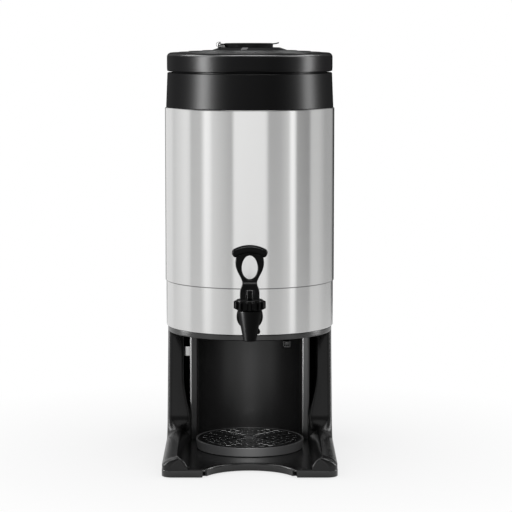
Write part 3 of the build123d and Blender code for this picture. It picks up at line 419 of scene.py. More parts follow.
def finishes():
    """A function that gives a material by its name, and makes it where there is none yet. The frame brings
    its own bright_wire and liner_steel, which stay, so the two below only stand in for them."""
    store, look = bpy.data.materials, bpy.context.scene.server_looks
    black, satin = look.gloss_black, look.satin_black
    deep = tint(satin, 0.4)[:3]
    # Colour, roughness and the height of the lap, round which the colour is darkened as a painted shadow line
    sheets = {"steel_sheet": (look.steel, look.steel_roughness, SHELL_LOW[2] * MM)}
    # Colour, roughness, scale of the grain, its relief, smudge, gloss, sheen and polish
    mouldings = {
        "stand_gloss": (black, 0.24, 700.0, 0.03, 0.04, 0.42),
        "base_gloss": (black, 0.24, 700.0, 0.03, 0.04, 0.8),
        "cap_black": (black, 0.36, 1600.0, 0.06, 0.03, 0.0, 0.4),
        "spout_satin": (black, 0.32, 1300.0, 0.06, 0.03, 0.0, 0.14),
        "alcove_satin": (deep, 0.36, 1600.0, 0.1, 0.05, 0.65),
        "collar_satin": (black, 0.34, 1600.0, 0.06, 0.03, 0.0, 0.12),
        "lid_satin": (black, 0.34, 1600.0, 0.06, 0.03, 0.0, 0.12, ((LID_TOP - 4.4) * MM, 0.27, 0.3)),
        "tap_moulding": (black, 0.32, 1300.0, 0.06, 0.05, 0.0, 0.16),
        "tray_satin": (deep, 0.52, 1500.0, 0.1, 0.05, 0.6),
        "grate_gloss": (black, 0.2, 900.0, 0.04, 0.03, 0.5),
        "vent_grey": (look.vent_grey, 0.45, 1400.0, 0.1, 0.05),
        "pad_rubber": (satin, 0.7, 900.0, 0.2, 0.08),
        "soft_silicone": ((0.5, 0.5, 0.48), 0.5, 700.0, 0.05, 0.08),
    }
    # Colour and roughness
    metals = {
        "liner_steel": (tint(look.steel, 0.9)[:3], 0.28),
        "clip_steel": (look.steel, 0.38),
        "bright_wire": (look.steel, 0.18),
        "screw_zinc": (tint(look.steel, 0.6)[:3], 0.4),
    }
    makers = ((brushed, sheets), (moulded, mouldings), (plain_metal, metals))

    def finish(name):
        """The material of a name, made by the maker whose table has it."""
        if name not in store:
            maker, table = next(pair for pair in makers if name in pair[1])
            maker(name, *table[name])
        return store[name]

    return finish


# Settings that a user would change


class ServerLooks(bpy.types.PropertyGroup):
    """Colours and sheens."""
    steel: bpy.props.FloatVectorProperty(
        name="Steel", description="Colour of the brushed jacket", subtype="COLOR",
        default=(0.78, 0.78, 0.775))
    steel_roughness: bpy.props.FloatProperty(
        name="Steel roughness", description="Spread of reflections on the jacket", subtype="FACTOR",
        default=0.23, min=0.02, max=1)
    gloss_black: bpy.props.FloatVectorProperty(
        name="Gloss black", description="Colour of the stand, collar, lid, cap, tap and grate",
        subtype="COLOR", default=(0.0006, 0.0006, 0.00065))
    satin_black: bpy.props.FloatVectorProperty(
        name="Satin black", description="Colour of the pads and seals, and darker of the alcove and tray",
        subtype="COLOR", default=(0.016, 0.016, 0.0165))
    vent_grey: bpy.props.FloatVectorProperty(
        name="Vent grey", description="Colour of the small block on the lid", subtype="COLOR",
        default=(0.23, 0.23, 0.235))


class ServerSizes(bpy.types.PropertyGroup):
    """Sizes of edges and small forms."""
    sheet: bpy.props.FloatProperty(
        name="Sheet", description="Thickness of the steel jacket", unit="LENGTH", default=1.0 * MM)
    top_roll: bpy.props.FloatProperty(
        name="Top roll", description="Radius of the jacket's turned-in top edge", unit="LENGTH",
        default=2.0 * MM)
    rim_round: bpy.props.FloatProperty(
        name="Rim round", description="Radius of the lid's outer top edge", unit="LENGTH", default=6.0 * MM)
    column_round: bpy.props.FloatProperty(
        name="Column round", description="Radius of the columns' outer front edge", unit="LENGTH",
        default=7.0 * MM)
    fairing: bpy.props.FloatProperty(
        name="Fairing", description="Radius where a column sweeps into its rail", unit="LENGTH",
        default=26.0 * MM)
    base_round: bpy.props.FloatProperty(
        name="Base round", description="Radius of the base plate's top edge", unit="LENGTH", default=2.5 * MM)
    rib_count: bpy.props.IntProperty(
        name="Ribs", description="Grip ribs round the bonnet nut", subtype="UNSIGNED", default=14, min=3)
    slot_width: bpy.props.FloatProperty(
        name="Slot width", description="Width of the grate's slots", unit="LENGTH", default=4.6 * MM)
    slot_bar: bpy.props.FloatProperty(
        name="Slot bar", description="Least width between two slots of a row", unit="LENGTH",
        default=3.4 * MM)


class ServerStage(bpy.types.PropertyGroup):
    """Camera, light and floor."""
    lens: bpy.props.FloatProperty(
        name="Lens", description="Focal length on a 36 mm sensor", unit="CAMERA", default=147.66)
    distance: bpy.props.FloatProperty(
        name="Distance", description="Camera to the vessel's axis", unit="LENGTH", default=2.8575)
    height: bpy.props.FloatProperty(
        name="Height", description="Camera above the floor", unit="LENGTH", default=0.5731)
    tilt: bpy.props.FloatProperty(
        name="Tilt", description="Downward tilt of the camera", subtype="ANGLE", default=math.radians(6.33))
    shift: bpy.props.FloatProperty(
        name="Shift", description="Sideways shift of the frame", subtype="FACTOR", default=6.27 / 512)
    floor_radius: bpy.props.FloatProperty(
        name="Floor radius", description="Radius of the pale floor", unit="LENGTH", default=1.3)
    surround: bpy.props.FloatProperty(
        name="Surround", description="Strength of the studio round the object", subtype="FACTOR",
        default=1.06, min=0)
    overhead: bpy.props.FloatProperty(
        name="Overhead", description="Power of the soft box above", unit="POWER", default=3.0)
    strips: bpy.props.FloatProperty(
        name="Strips", description="Power of the strip lamps that only the dark mouldings see", unit="POWER",
        default=200.0)


# Steel jacket


def shell_profile(sheet, roll):
    """Section of the upper jacket: an upright sheet whose top edge rolls inwards to a flange."""
    outer, low, high = SHELL_HIGH[0], SHELL_LOW[2], SHELL_HIGH[2]
    inner, under, flange = outer - sheet, high - sheet, outer - 8.0
    return rounded([
        (outer, low, sheet * 0.45), (outer, high, roll), (flange, high, sheet * 0.3), (flange, under, 0.3),
        (inner, under, roll - sheet), (inner, low, sheet * 0.45)], 8)


def skirt_profile(sheet):
    """Section of the lower jacket: an upright sheet with its hem turned in below."""
    outer, low, high = SKIRT_HIGH[0], SKIRT_LOW[2], SKIRT_HIGH[2]
    inner, over, hem = outer - sheet, low + sheet, outer - 4.8
    return rounded([
        (hem, low, 0.3), (outer, low, 0.9), (outer, high, 0.3), (inner, high, 0.3), (inner, over, 0.3),
        (hem, over, 0.3)])


def ring_profiles(wall=3.0, middle=40.0, lap=0.4):
    """Sections of the black ring: its wall with the spigot inside the skirt and the outer part of the floor,
    and the disc that closes the floor."""
    outer, low, top, seam = RING_HIGH[0], RING_LOW[2], RING_HIGH[2], SKIRT_LOW[2]
    spigot = outer - 3.3
    bore, floor = spigot - wall, low + wall
    section = rounded([
        (outer, low, 1.6), (outer, seam, 1.6), (spigot, seam, 0.3), (spigot, top, 0.4), (bore, top, 0.4),
        (bore, floor, 1.0), (middle, floor, 0), (middle, low, 0)])
    edge = middle + lap
    return section, np.array([(0, low), (edge, low), (edge, floor), (0, floor)], float)


class SERVER_OT_jacket(bpy.types.Operator):
    """Build the two parts of the steel jacket and the black ring below them"""
    bl_idname = "server.jacket"
    bl_label = "Steel jacket"

    def execute(self, context):
        sizes, finish = context.scene.server_sizes, finishes()
        sheet, steel = sizes.sheet / MM, finish("steel_sheet")
        upper = turned(shell_profile(sheet, sizes.top_roll / MM), 360, y=VESSEL_Y)
        Shells().add(upper, ring=True).make("jacket_upper", "server", "brushed_steel", steel, "steel_shell")
        lower = turned(skirt_profile(sheet), 360, y=VESSEL_Y)
        Shells().add(lower, ring=True).make("jacket_lower", "server", "brushed_steel", steel, "steel_skirt")
        section, disc = ring_profiles()
        ring = Shells().add(turned(section, 288, y=VESSEL_Y), ring=True).add(turned(disc, 96, y=VESSEL_Y))
        ring.make("jacket_ring", "server", "gloss_black", finish("base_gloss"), "body_ring")
        return {"FINISHED"}


# Collar and lid

BOSS_TOP = 540.4
BREW_HOLE = 29.3
PLUG_NECK = 83.8
HINGE_X = -40.6
HINGE_Z = 544.4
KNUCKLE = 2.3


def collar_profile(wall=3.0):
    """Section of the collar: a tapered wall, a rim, the lid's seat and the sleeve round the flask's neck."""
    outer, low, high = COLLAR_HIGH[0], COLLAR_LOW[2], COLLAR_HIGH[2]
    rim, neck, seat = 105.0, 88.0, high - 8.0
    under, sleeve = seat - wall, seat - 28.0
    return rounded([
        (outer, low, 0.7), (outer - 1.9, high, 1.3), (rim, high, 0.8), (rim, seat, 1.0), (neck, seat, 1.0),
        (neck, sleeve, 0.5), (neck + wall, sleeve, 0.5), (neck + wall, under, 1.0), (outer - 5.9, under, 1.0),
        (outer - 4.0, low, 0.6)])


def lid_profile(rim):
    """Section of the lid: rounded rim, drip trough, two low steps and the boss round the brewing hole."""
    outer, low = LID_HIGH[0], LID_LOW[2]
    trough_outer, trough_inner, trough = 105.0, 96.4, LID_TOP - 2.6
    first_step, second_step, boss_foot, boss = 82.5, 64.2, 51.3, 40.5
    funnel, recess, under = BREW_HOLE + 2.5, BOSS_TOP - 1.6, LID_TOP - 5.6
    return rounded([
        (outer - 0.4, low + 0.7, 0.5), (outer, low + 5.0, 3.0), (outer, LID_TOP, rim),
        (trough_outer, LID_TOP, 0.35), (trough_outer, trough, 0.6), (trough_inner, trough, 0.6),
        (trough_inner, LID_TOP + 0.8, 1.2), (first_step + 0.4, LID_TOP + 1.0, 0.25),
        (first_step, LID_TOP + 1.9, 0.7), (second_step + 0.4, LID_TOP + 2.2, 0.25),
        (second_step, LID_TOP + 2.9, 0.6), (boss_foot, LID_TOP + 3.2, 1.5), (boss, BOSS_TOP, 1.6),
        (funnel, BOSS_TOP, 0.4), (funnel, recess, 0.3), (BREW_HOLE, recess, 0.3), (BREW_HOLE, under, 0.4),
        (outer - 3.0, under, 1.0), (outer - 3.4, low, 0.3), (outer - 2.6, low, 0.3)])


def notched(grid, half=31.0, rise=1.6, reach=4.0):
    """Lift the front of the lid's lower edge into a shallow arch: rise (1 - (x / half) squared) at the edge,
    fading to none at a reach up the wall."""
    x, y, z = grid[..., 0], grid[..., 1], grid[..., 2]
    arch = np.where(y < VESSEL_Y, np.clip(1 - (x / half) ** 2, 0, None), 0)
    fade = np.clip(1 - (z - LID_LOW[2]) / reach, 0, 1)
    return np.dstack([x, y, z + rise * arch * fade])


def hinge_ear(side, inner=6.0, width=4.0, foot=534.0):
    """Ear of the hinge: an upright tab whose top is a half circle round the pin, carried across its width
    with eased rims."""
    turn = np.linspace(0, math.pi, 15)
    arch = np.column_stack([KNUCKLE * np.cos(turn), KNUCKLE * np.sin(turn)])
    loop = np.vstack([(KNUCKLE, foot - HINGE_Z), arch, (-KNUCKLE, foot - HINGE_Z)])
    across = np.array([0, 0.15, 0.5, width - 0.5, width - 0.15, width]) + inner
    size = np.array([0.8, 0.93, 1, 1, 0.93, 0.8])[:, None]
    x = HINGE_X + size * loop[:, 0]
    z = HINGE_Z + np.where(loop[:, 1] > 0, size, 1) * loop[:, 1]
    y = np.broadcast_to(VESSEL_Y + side * across[:, None], x.shape)
    return np.dstack([x, y, z])


def plug_profile(wall=2.5):
    """Section of the plug: a tub round the brewing hole, with a flange above that rests on the lid's seat."""
    corner_low, corner_high = limits("lid_plug")
    outer, low, high = corner_high[0], corner_low[2], corner_high[2]
    flange, floor, bore = low + 15.0, low + wall, BREW_HOLE + wall
    return rounded([
        (BREW_HOLE, low, 0.8), (PLUG_NECK, low, 1.5), (PLUG_NECK, flange, 0.5), (outer, flange, 0.8),
        (outer, high, 0.3), (outer - wall, high, 0.3), (outer - wall, flange + wall, 0.5),
        (PLUG_NECK - wall, flange + wall, 0.5), (PLUG_NECK - wall, floor, 0.5), (bore, floor, 0.5),
        (bore, high, 0.3), (BREW_HOLE, high, 0.3)])


def seal_profile():
    """Section of the lid's seal: a ring round the plug, with two lips and a hollow between them."""
    corner_low, corner_high = limits("lid_gasket")
    inner, outer, low, high = PLUG_NECK + 0.05, corner_high[0], corner_low[2], corner_high[2]
    return rounded([
        (inner, low, 0.2), (outer - 0.5, low, 0.3), (outer, low + 1.2, 0.4), (outer - 0.9, low + 3.0, 0.4),
        (outer, high - 1.2, 0.4), (outer - 0.5, high, 0.3), (inner, high, 0.2)])


def vent_grid(width=8.0):
    """Vent block: a rounded box that leans along X, by a shift in step with the height."""
    low, high = limits("vent_block")
    span, depth, height = high - low
    slab = block(width, depth, height, 0.7, 0.5)
    slab[..., 0] += low[0] + width / 2 + (span - width) / height * slab[..., 2]
    slab[..., 1] += (low[1] + high[1]) / 2
    slab[..., 2] += low[2]
    return slab


class SERVER_OT_lid(bpy.types.Operator):
    """Build the collar, the lid with its hinge ears, the plug under it and the small vent block"""
    bl_idname = "server.lid"
    bl_label = "Collar and lid"

    # Width, height and offset from the pin of the two blocks under the hinge
    saddles = ((8.2, 6.4, 1.6), (3.0, 7.8, 4.2))

    def execute(self, context):
        sizes, finish = context.scene.server_sizes, finishes()
        satin = finish("collar_satin")
        collar = Shells().add(turned(collar_profile(), 320, y=VESSEL_Y), ring=True)
        collar.make("collar_ring", "server", "satin_black", satin, "top_collar")
        lid = Shells().add(notched(turned(lid_profile(sizes.rim_round / MM), 360, y=VESSEL_Y)), ring=True)
        for side in (-1, 1):
            lid.add(hinge_ear(side), caps=True)
        for width, height, x in self.saddles:
            saddle = block(width, 20.0, height, 0.8, 0.5)
            lid.add(saddle + (HINGE_X + x, VESSEL_Y, LID_TOP + 1.6), caps=True)
        lid.make("lid_top", "lid", "satin_black", finish("lid_satin"), "lid_shell")
        plug = Shells().add(turned(plug_profile(), 256, y=VESSEL_Y), ring=True)
        plug.make("lid_plug_ring", "lid", "satin_black", satin, "lid_plug")
        seal = Shells().add(turned(seal_profile(), 256, y=VESSEL_Y), ring=True)
        seal.make("lid_seal_ring", "lid", "soft_rubber", finish("pad_rubber"), "lid_gasket")
        vent = Shells().add(vent_grid(), caps=True)
        vent.make("lid_vent", "lid", "grey_plastic", finish("vent_grey"), "vent_block")
        return {"FINISHED"}


# Flip cap and its hinge

CAP_TOP = CAP_LOW[2] + 5.4


def cap_profile(radius, wall=3.0, roof=2.2):
    """Section of the cap: a shallow cover with a soft top edge, a faint dish on top and a skirt below."""
    low, inner, ceiling = CAP_LOW[2], radius - wall, CAP_TOP - roof
    dish, dish_inner, dish_outer = CAP_TOP - 0.35, 20.0, 24.0
    return rounded([
        (0, dish, 0), (dish_inner, dish, 0), (dish_outer, CAP_TOP, 2.0), (radius, CAP_TOP, 1.4),
        (radius, low, 0.4), (inner, low, 0.4), (inner, ceiling, 0.5), (0, ceiling, 0)])


def cap_tab(edge, lap=3.0):
    """Finger tab: a thin rounded strip that leaves the cap's edge and curls up, z rising with the square of
    the way out, and narrows to a round end."""
    root = edge - lap
    way = np.linspace(0, 1, 20)
    reach = root + way * (CAP_HIGH[0] - root)
    rise = CAP_TOP - 1.1 + 1.7 * way ** 2
    half = 9.0 * np.sqrt(np.clip(1 - np.clip((way - 0.62) / 0.4, 0, 1) ** 2 * 0.72, 0, 1))
    thick = np.where(way > 0.97, 1.0, 1.5)
    y, z = round_rectangle(2 * half, thick, np.minimum(0.6, thick * 0.45))
    return np.dstack([np.broadcast_to(reach[:, None], y.shape), VESSEL_Y + y, rise[:, None] + z])


def knuckle_grid():
    """Knuckle of the hinge: a cylinder along Y, drawn in a little at both rims."""
    turn = np.linspace(0, FULL_TURN, 32, endpoint=False)
    rims = np.array([(-5.5, 0.85), (-5.3, 0.97), (-4.9, 1), (4.9, 1), (5.3, 0.97), (5.5, 0.85)])
    place, radius = rims[:, :1], KNUCKLE * rims[:, 1:]
    return np.dstack([
        HINGE_X + radius * np.cos(turn), np.broadcast_to(VESSEL_Y + place, (len(rims), len(turn))),
        HINGE_Z + radius * np.sin(turn)])


def pin_grid(radius=1.1, ease=0.3):
    """Hinge pin: a cylinder along Y with eased ends."""
    low, high = limits("cap_hinge_pin")
    length = high[1] - low[1]
    section = np.array([
        (0, 0), (radius - ease, 0), (radius, ease), (radius, length - ease), (radius - ease, length),
        (0, length)])
    pin = lying(turned(section, 24, HINGE_X), HINGE_Z)
    pin[..., 1] += low[1]
    return pin


def spring_path(radius=3.2, pitch=1.4, turns=2.5, short=3.0, long=8.5):
    """Loose turns about a line along -Y beside the hinge, with a straight arm off each end."""
    angle = np.linspace(0, FULL_TURN * turns, 140)
    x, back = HINGE_X - 1.4, VESSEL_Y - 10.7
    coil = np.column_stack([
        x - radius * np.sin(angle), back - pitch * angle / FULL_TURN, HINGE_Z + radius * np.cos(angle)])
    lead = np.linspace(short, 0.3, 8)[:, None] * (1, 0, 0) + coil[0]
    tail = np.linspace(0.3, long, 16)[:, None] * (1, 0, 0) + coil[-1]
    return np.vstack([lead, coil, tail])


class SERVER_OT_flip_cap(bpy.types.Operator):
    """Build the flip cap with its tab and knuckle, the hinge pin and the wire spring"""
    bl_idname = "server.flip_cap"
    bl_label = "Flip cap"

    def execute(self, context):
        finish = finishes()
        radius, middle = 33.0, -1.5
        cap = Shells().add(turned(cap_profile(radius), 160, middle, VESSEL_Y))
        cap.add(cap_tab(radius + middle), caps=True).add(knuckle_grid(), caps=True)
        arm_length, arm_width, arm_height = 9.0, 10.6, 2.2
        arm = block(arm_length, arm_width, arm_height, 0.5, 0.4)
        cap.add(arm + (HINGE_X + 4.6, VESSEL_Y, HINGE_Z - arm_height / 2), caps=True)
        cap.make("brewing_cap", "cap", "satin_black", finish("cap_black"), "flip_cap")
        wire = finish("bright_wire")
        Shells().add(pin_grid()).make("cap_pin", "lid", "bright_wire", wire, "cap_hinge_pin")
        spring = Shells().add(wire_tube(spring_path(), 0.4, (0, 1, 0)), caps=True)
        spring.make("cap_wire_spring", "lid", "bright_wire", wire, "cap_spring")
        return {"FINISHED"}


# Stand

RAIL_TOP = BASE_TOP + 16.0
FRONT = BASE_LOW[1] - VESSEL_Y
STAND_HALF = BASE_HIGH[0]
FRONT_CORNER = 14.0


def leg_path(fairing):
    """Ridge and root of a leg, as points (y, z) from the vessel's axis. The ridge climbs over the nose, runs
    back along the rail, sweeps up an arc of the fairing's radius and leans back up the column. The root runs
    under it along the base plate, round the base's rear corner and up the back plane."""
    nose, tip, root = 4.0, FRONT + 0.3, BASE_TOP - 3.0
    column_foot, lean, rise = -62.0, 47.0, STAND_TOP - BASE_TOP
    slope = math.atan2(rise, lean)
    tangent = fairing * math.tan(slope / 2)
    bend = column_foot + lean * (RAIL_TOP - BASE_TOP) / rise - tangent
    turn = np.linspace(QUARTER, 0, 14)
    over_nose = np.column_stack([tip + nose - nose * np.sin(turn), RAIL_TOP - nose + nose * np.cos(turn)])
    stops = np.linspace(0, 1, 30) ** 1.5
    rail_y = tip + nose + 0.5 + stops * (bend - tip - nose - 1.0)
    rail = np.column_stack([rail_y, np.full(len(rail_y), RAIL_TOP)])
    arc = np.linspace(0, slope, 36)
    sweep = np.column_stack([bend + fairing * np.sin(arc), RAIL_TOP + fairing * (1 - np.cos(arc))])
    (first_y, _), (last_y, last_z) = sweep[0], sweep[-1]
    climb = np.linspace(last_z + 0.5, STAND_TOP, 30)
    column = np.column_stack([last_y + (climb - last_z) * lean / rise, climb])
    along = np.concatenate([over_nose[:, 0], rail_y])
    below = np.column_stack([along, np.full(len(along), root)])
    marks = np.array([0.0, -first_y, last_z - root - first_y])
    way = smooth(np.linspace(0, 1, len(arc))) * marks[-1]
    corner = np.column_stack([
        np.interp(way, marks, [first_y, 0, 0]), np.interp(way, marks, [root, root, last_z])])
    behind = np.column_stack([np.zeros(len(climb)), climb])
    return np.vstack([over_nose, rail, sweep, column]), np.vstack([below, corner, behind])


def leg_grid(side, sizes):
    """One leg as a loft. At each stop of its ridge a section hangs from it towards the root: two sides, and
    two rounded edges with a slightly crowned face between them. Along the rail the edges flatten towards a
    gable, and over the sweep the rail's section becomes the column's."""
    ridge, root = leg_path(sizes.fairing / MM)
    column_round = sizes.column_round / MM
    depth = np.linalg.norm(root - ridge, axis=1)
    inward = (root - ridge) / depth[:, None]
    sweep_start, sweep_stops = 48, 28
    upward = smooth((np.arange(len(ridge)) - sweep_start) / sweep_stops)
    tuck = np.clip(RAIL_TOP - ridge[:, 1], 0, None)
    bite = np.clip(FRONT + FRONT_CORNER - root[:, 0], 0, FRONT_CORNER)
    outer = STAND_HALF - 0.4 - (FRONT_CORNER - np.sqrt(FRONT_CORNER ** 2 - bite ** 2)) - tuck * 0.4
    rail_inner, column_step, step_rise = 79.0, 10.0, 72.0
    inner = rail_inner + column_step * smooth((ridge[:, 1] - RAIL_TOP) / step_rise) + tuck
    width = outer - inner

    def ease(rail, column, most):
        """A length that goes from the rail's to the column's over the sweep, and stays under a limit."""
        return np.minimum(rail + (column - rail) * upward, most)[:, None]

    outer_across, outer_down = ease(17.5, column_round, width * 0.58), ease(11.0, column_round, depth * 0.8)
    inner_across, inner_down = ease(12.0, 5.0, width * 0.4), ease(13.0, 5.0, depth * 0.8)
    outer, inner, depth = outer[:, None], inner[:, None], depth[:, None]
    bend = np.linspace(0, QUARTER, 11)
    even = bend / bend[-1]
    gable = 0.55 * (1 - upward)[:, None]
    rising = (1 - gable) * np.sin(bend) + gable * even
    falling = (1 - gable) * (1 - np.cos(bend)) + gable * even
    share = np.linspace(0, 1, 8)[:-1]
    flat = np.linspace(0, 1, 7)[1:-1]
    crown = -0.4 + 0.4 * (2 * flat - 1) ** 2
    x = np.hstack([
        outer + 0 * share, outer - outer_across * falling,
        outer - outer_across + (inner + inner_across - outer + outer_across) * flat,
        inner + inner_across * (1 - rising), inner + 0 * share])
    drop = np.hstack([
        depth + (outer_down - depth) * share, outer_down * (1 - rising), crown + 0 * depth,
        inner_down * falling, inner_down + (depth - inner_down) * (1 - share[::-1])])
    return np.dstack([
        side * x, VESSEL_Y + ridge[:, :1] + inward[:, :1] * drop, ridge[:, 1:] + inward[:, 1:] * drop])


def base_outline(count=1400):
    """Plan of the base plate in even steps: half a circle behind, straight sides, round front corners and a
    bowed front."""
    half, depth = 58.0, 42.0
    bow = (half ** 2 + depth ** 2) / (2 * depth)
    reach = math.asin(half / bow)
    rear = np.linspace(math.pi, 0, 90)
    front = np.linspace(reach, -reach, 34)[1:-1]
    corners = [(STAND_HALF * math.cos(a), STAND_HALF * math.sin(a), 0) for a in rear]
    corners += [(STAND_HALF, FRONT, FRONT_CORNER), (half, FRONT, 5.0)]
    corners += [(bow * math.sin(a), FRONT + depth - bow + bow * math.cos(a), 0) for a in front]
    corners += [(-half, FRONT, 5.0), (-STAND_HALF, FRONT, FRONT_CORNER)]
    loop = rounded(corners, 10)
    loop = np.vstack([loop, loop[:1]])
    run = np.concatenate([[0], np.cumsum(np.linalg.norm(np.diff(loop, axis=0), axis=1))])
    even = np.linspace(0, run[-1], count, endpoint=False)
    return np.column_stack([np.interp(even, run, loop[:, 0]), np.interp(even, run, loop[:, 1])])


def base_grid(radius, wall=3.0):
    """Base plate as rings of one outline: out over the top, round the edge, down the wall and back under a
    hollow. The lower rings step back at two notches beside the bow."""
    loop = base_outline()
    way = np.roll(loop, -1, 0) - np.roll(loop, 1, 0)
    inward = np.column_stack([way[:, 1], -way[:, 0]])
    inward /= np.linalg.norm(inward, axis=1, keepdims=True)
    low, edge, ceiling = BASE_LOW[2], BASE_TOP - radius, BASE_TOP - wall
    ease = np.linspace(0, QUARTER, 8)
    inset = np.concatenate([[radius + 0.4], radius * (1 - np.sin(ease)), [0, 0, 0, 0.4, wall, wall]])
    level = np.concatenate([
        [BASE_TOP], BASE_TOP - radius * (1 - np.cos(ease)),
        [edge - 0.3, edge - 0.4, low + 0.4, low, low, ceiling]])
    plan = loop + inset[:, None, None] * inward
    notch_x, notch_half, notch_depth = 57.2, 2.6, 4.5
    lower = np.arange(len(inset)) >= len(inset) - 5
    beside = np.abs(np.abs(plan[..., 0]) - notch_x) < notch_half
    notch = lower[:, None] & beside & (plan[..., 1] < FRONT + 16)
    plan = plan + np.where(notch, notch_depth, 0.0)[..., None] * inward
    middle = np.array([0.0, -90.0])
    share = np.array([0.0, 0.4, 0.8, 0.95])[:, None, None]
    cover = middle + share * (plan[0] - middle)
    under = middle + share[::-1] * (plan[-1] - middle)
    plan = np.vstack([cover, plan, under])
    level = np.concatenate([np.full(len(cover), BASE_TOP), level, np.full(len(under), ceiling)])
    return np.dstack([plan + (0, VESSEL_Y), np.broadcast_to(level[:, None], plan.shape[:2])])


def rear_grid():
    """Rear shell: half a ring in plan, carried up between the base and the body ring."""
    inner = STAND_HALF - 3.5
    turn = np.linspace(0, math.pi, 120)
    arc = np.column_stack([np.cos(turn), np.sin(turn)])
    loop = np.vstack([STAND_HALF * arc, inner * arc[::-1]])
    loop[:, 1] += VESSEL_Y
    return standing(loop, [BASE_TOP, BASE_TOP + 0.4, STAND_TOP - 0.4, STAND_TOP])


class SERVER_OT_stand(bpy.types.Operator):
    """Build the legs, the base plate and the rear shell"""
    bl_idname = "server.stand"
    bl_label = "Stand"

    def execute(self, context):
        sizes, finish = context.scene.server_sizes, finishes()
        gloss = finish("stand_gloss")
        for name, side in (("right", 1), ("left", -1)):
            leg = Shells().add(leg_grid(side, sizes), caps=True)
            leg.make(f"stand_leg_{name}", "server", "gloss_black", gloss, f"{name}_leg")
        base = Shells().add(base_grid(sizes.base_round / MM))
        base.make("stand_base", "server", "gloss_black", finish("base_gloss"), "base_plate", crease=50.0)
        rear = Shells().add(rear_grid(), caps=True)
        rear.make("stand_rear", "server", "gloss_black", finish("alcove_satin"), "rear_shell")
        return {"FINISHED"}


# Alcove


def alcove_loop(thick=3.0):
    """Plan of the alcove wall: a bowed back of even thickness, between two lips that stand forward beside the
    cups and turn their rounded fronts to the user."""
    outer, inner, reach, rear, back = 80.7, 70.5, 45.0, 17.0, 38.0
    bow = (inner ** 2 + (back + rear) ** 2) / (2 * (back + rear))
    half = math.acos(1 - (back + rear) / bow)
    turn = np.linspace(half, -half, 121)
    arc = np.column_stack([bow * np.sin(turn), back - bow + bow * np.cos(turn)])
    lip = rounded([
        (outer + 0.6, -rear + 2.0, 0), (outer, 1.3 - reach, 0.3), (outer - 2.1, -reach, 0.5),
        (inner + 0.5, 4.0 - reach, 4.0), (inner + 0.2, -rear, 0)], 8)
    behind = bow + thick
    turn = np.linspace(-half, half, 121)
    back_arc = np.column_stack([behind * np.sin(turn), back - bow + behind * np.cos(turn)])
    return np.vstack([lip, arc[1:], lip[::-1] * (-1, 1), back_arc]) + (0, VESSEL_Y)


def clip_grid(thick=1.5, ease=0.2):
    """Clip: an angle of bright strip in plan, carried up between the ends of its solid."""
    (left, front, low), (right, back, high) = limits("panel_clip")
    loop = rounded([
        (right, front + thick, 0.2), (left + thick, front + thick, 0.6), (left + thick, back, 0.4),
        (left, back, 0.4), (left, front, 1.4), (right, front, 0.4)])
    return standing(loop, [low, low + ease, high - ease, high])


class SERVER_OT_alcove(bpy.types.Operator):
    """Build the wall behind the cups, its small lug and the bright clip beside it"""
    bl_idname = "server.alcove"
    bl_label = "Alcove"

    # Width, height, offset along X and set-back of the lug's bars
    lug_bars = ((3.2, 10.0, -4.3, 0.0), (3.2, 10.0, 4.3, 0.0), (11.8, 3.0, 0.0, 0.0), (8.0, 9.0, 0.0, 3.0))

    def execute(self, context):
        finish = finishes()
        wall = Shells().add(standing(alcove_loop(), [BASE_TOP, STAND_TOP]), caps=True)
        lug_x, lug_front, lug_low, lug_depth = 51.3, VESSEL_Y + 10.8, STAND_TOP - 28.0, 10.0
        for width, height, x, back in self.lug_bars:
            bar = block(width, lug_depth - back, height, 1.2, 0.8)
            wall.add(bar + (lug_x + x, lug_front + (lug_depth + back) / 2, lug_low), caps=True)
        wall.make("alcove_wall", "server", "satin_black", finish("alcove_satin"), "alcove_panel")
        clip = Shells().add(clip_grid(), caps=True)
        clip.make("alcove_clip", "server", "brushed_steel", finish("clip_steel"), "panel_clip")
        return {"FINISHED"}


# Tap

SHANK_Z = 189.8


def spout_profile(bore=6.0, lip=8.2, shoulder=16.1, neck=14.0, chamber=10.0):
    """Section of the spout: a tapered nozzle with a rounded lip, its bore, the valve seat and the chamber."""
    low, top, high = TAP_LOW[2], NUT_LOW[2] - 0.4, TAP_HIGH[2]
    return rounded([
        (bore, low, 0.7), (lip, low, 1.1), (shoulder, top, 1.0), (neck, top, 0.2), (neck, high, 0.4),
        (chamber, high, 0.4), (chamber, top - 17.0, 0.6), (bore, top - 24.0, 0.6)])


def shank_profile(bore=5.5, radius=8.5, tail=7.0):
    """Section of the shank, which lies along Y: a plain tube and a thinner tail for the hose."""
    start, back = TAP_Y + 12.0, TAP_HIGH[1]
    step = back - 22.0
    return rounded([
        (bore, start, 0), (radius, start, 0), (radius, step, 0.4), (tail, step, 0.2), (tail, back, 0.6),
        (bore, back, 0.3)])


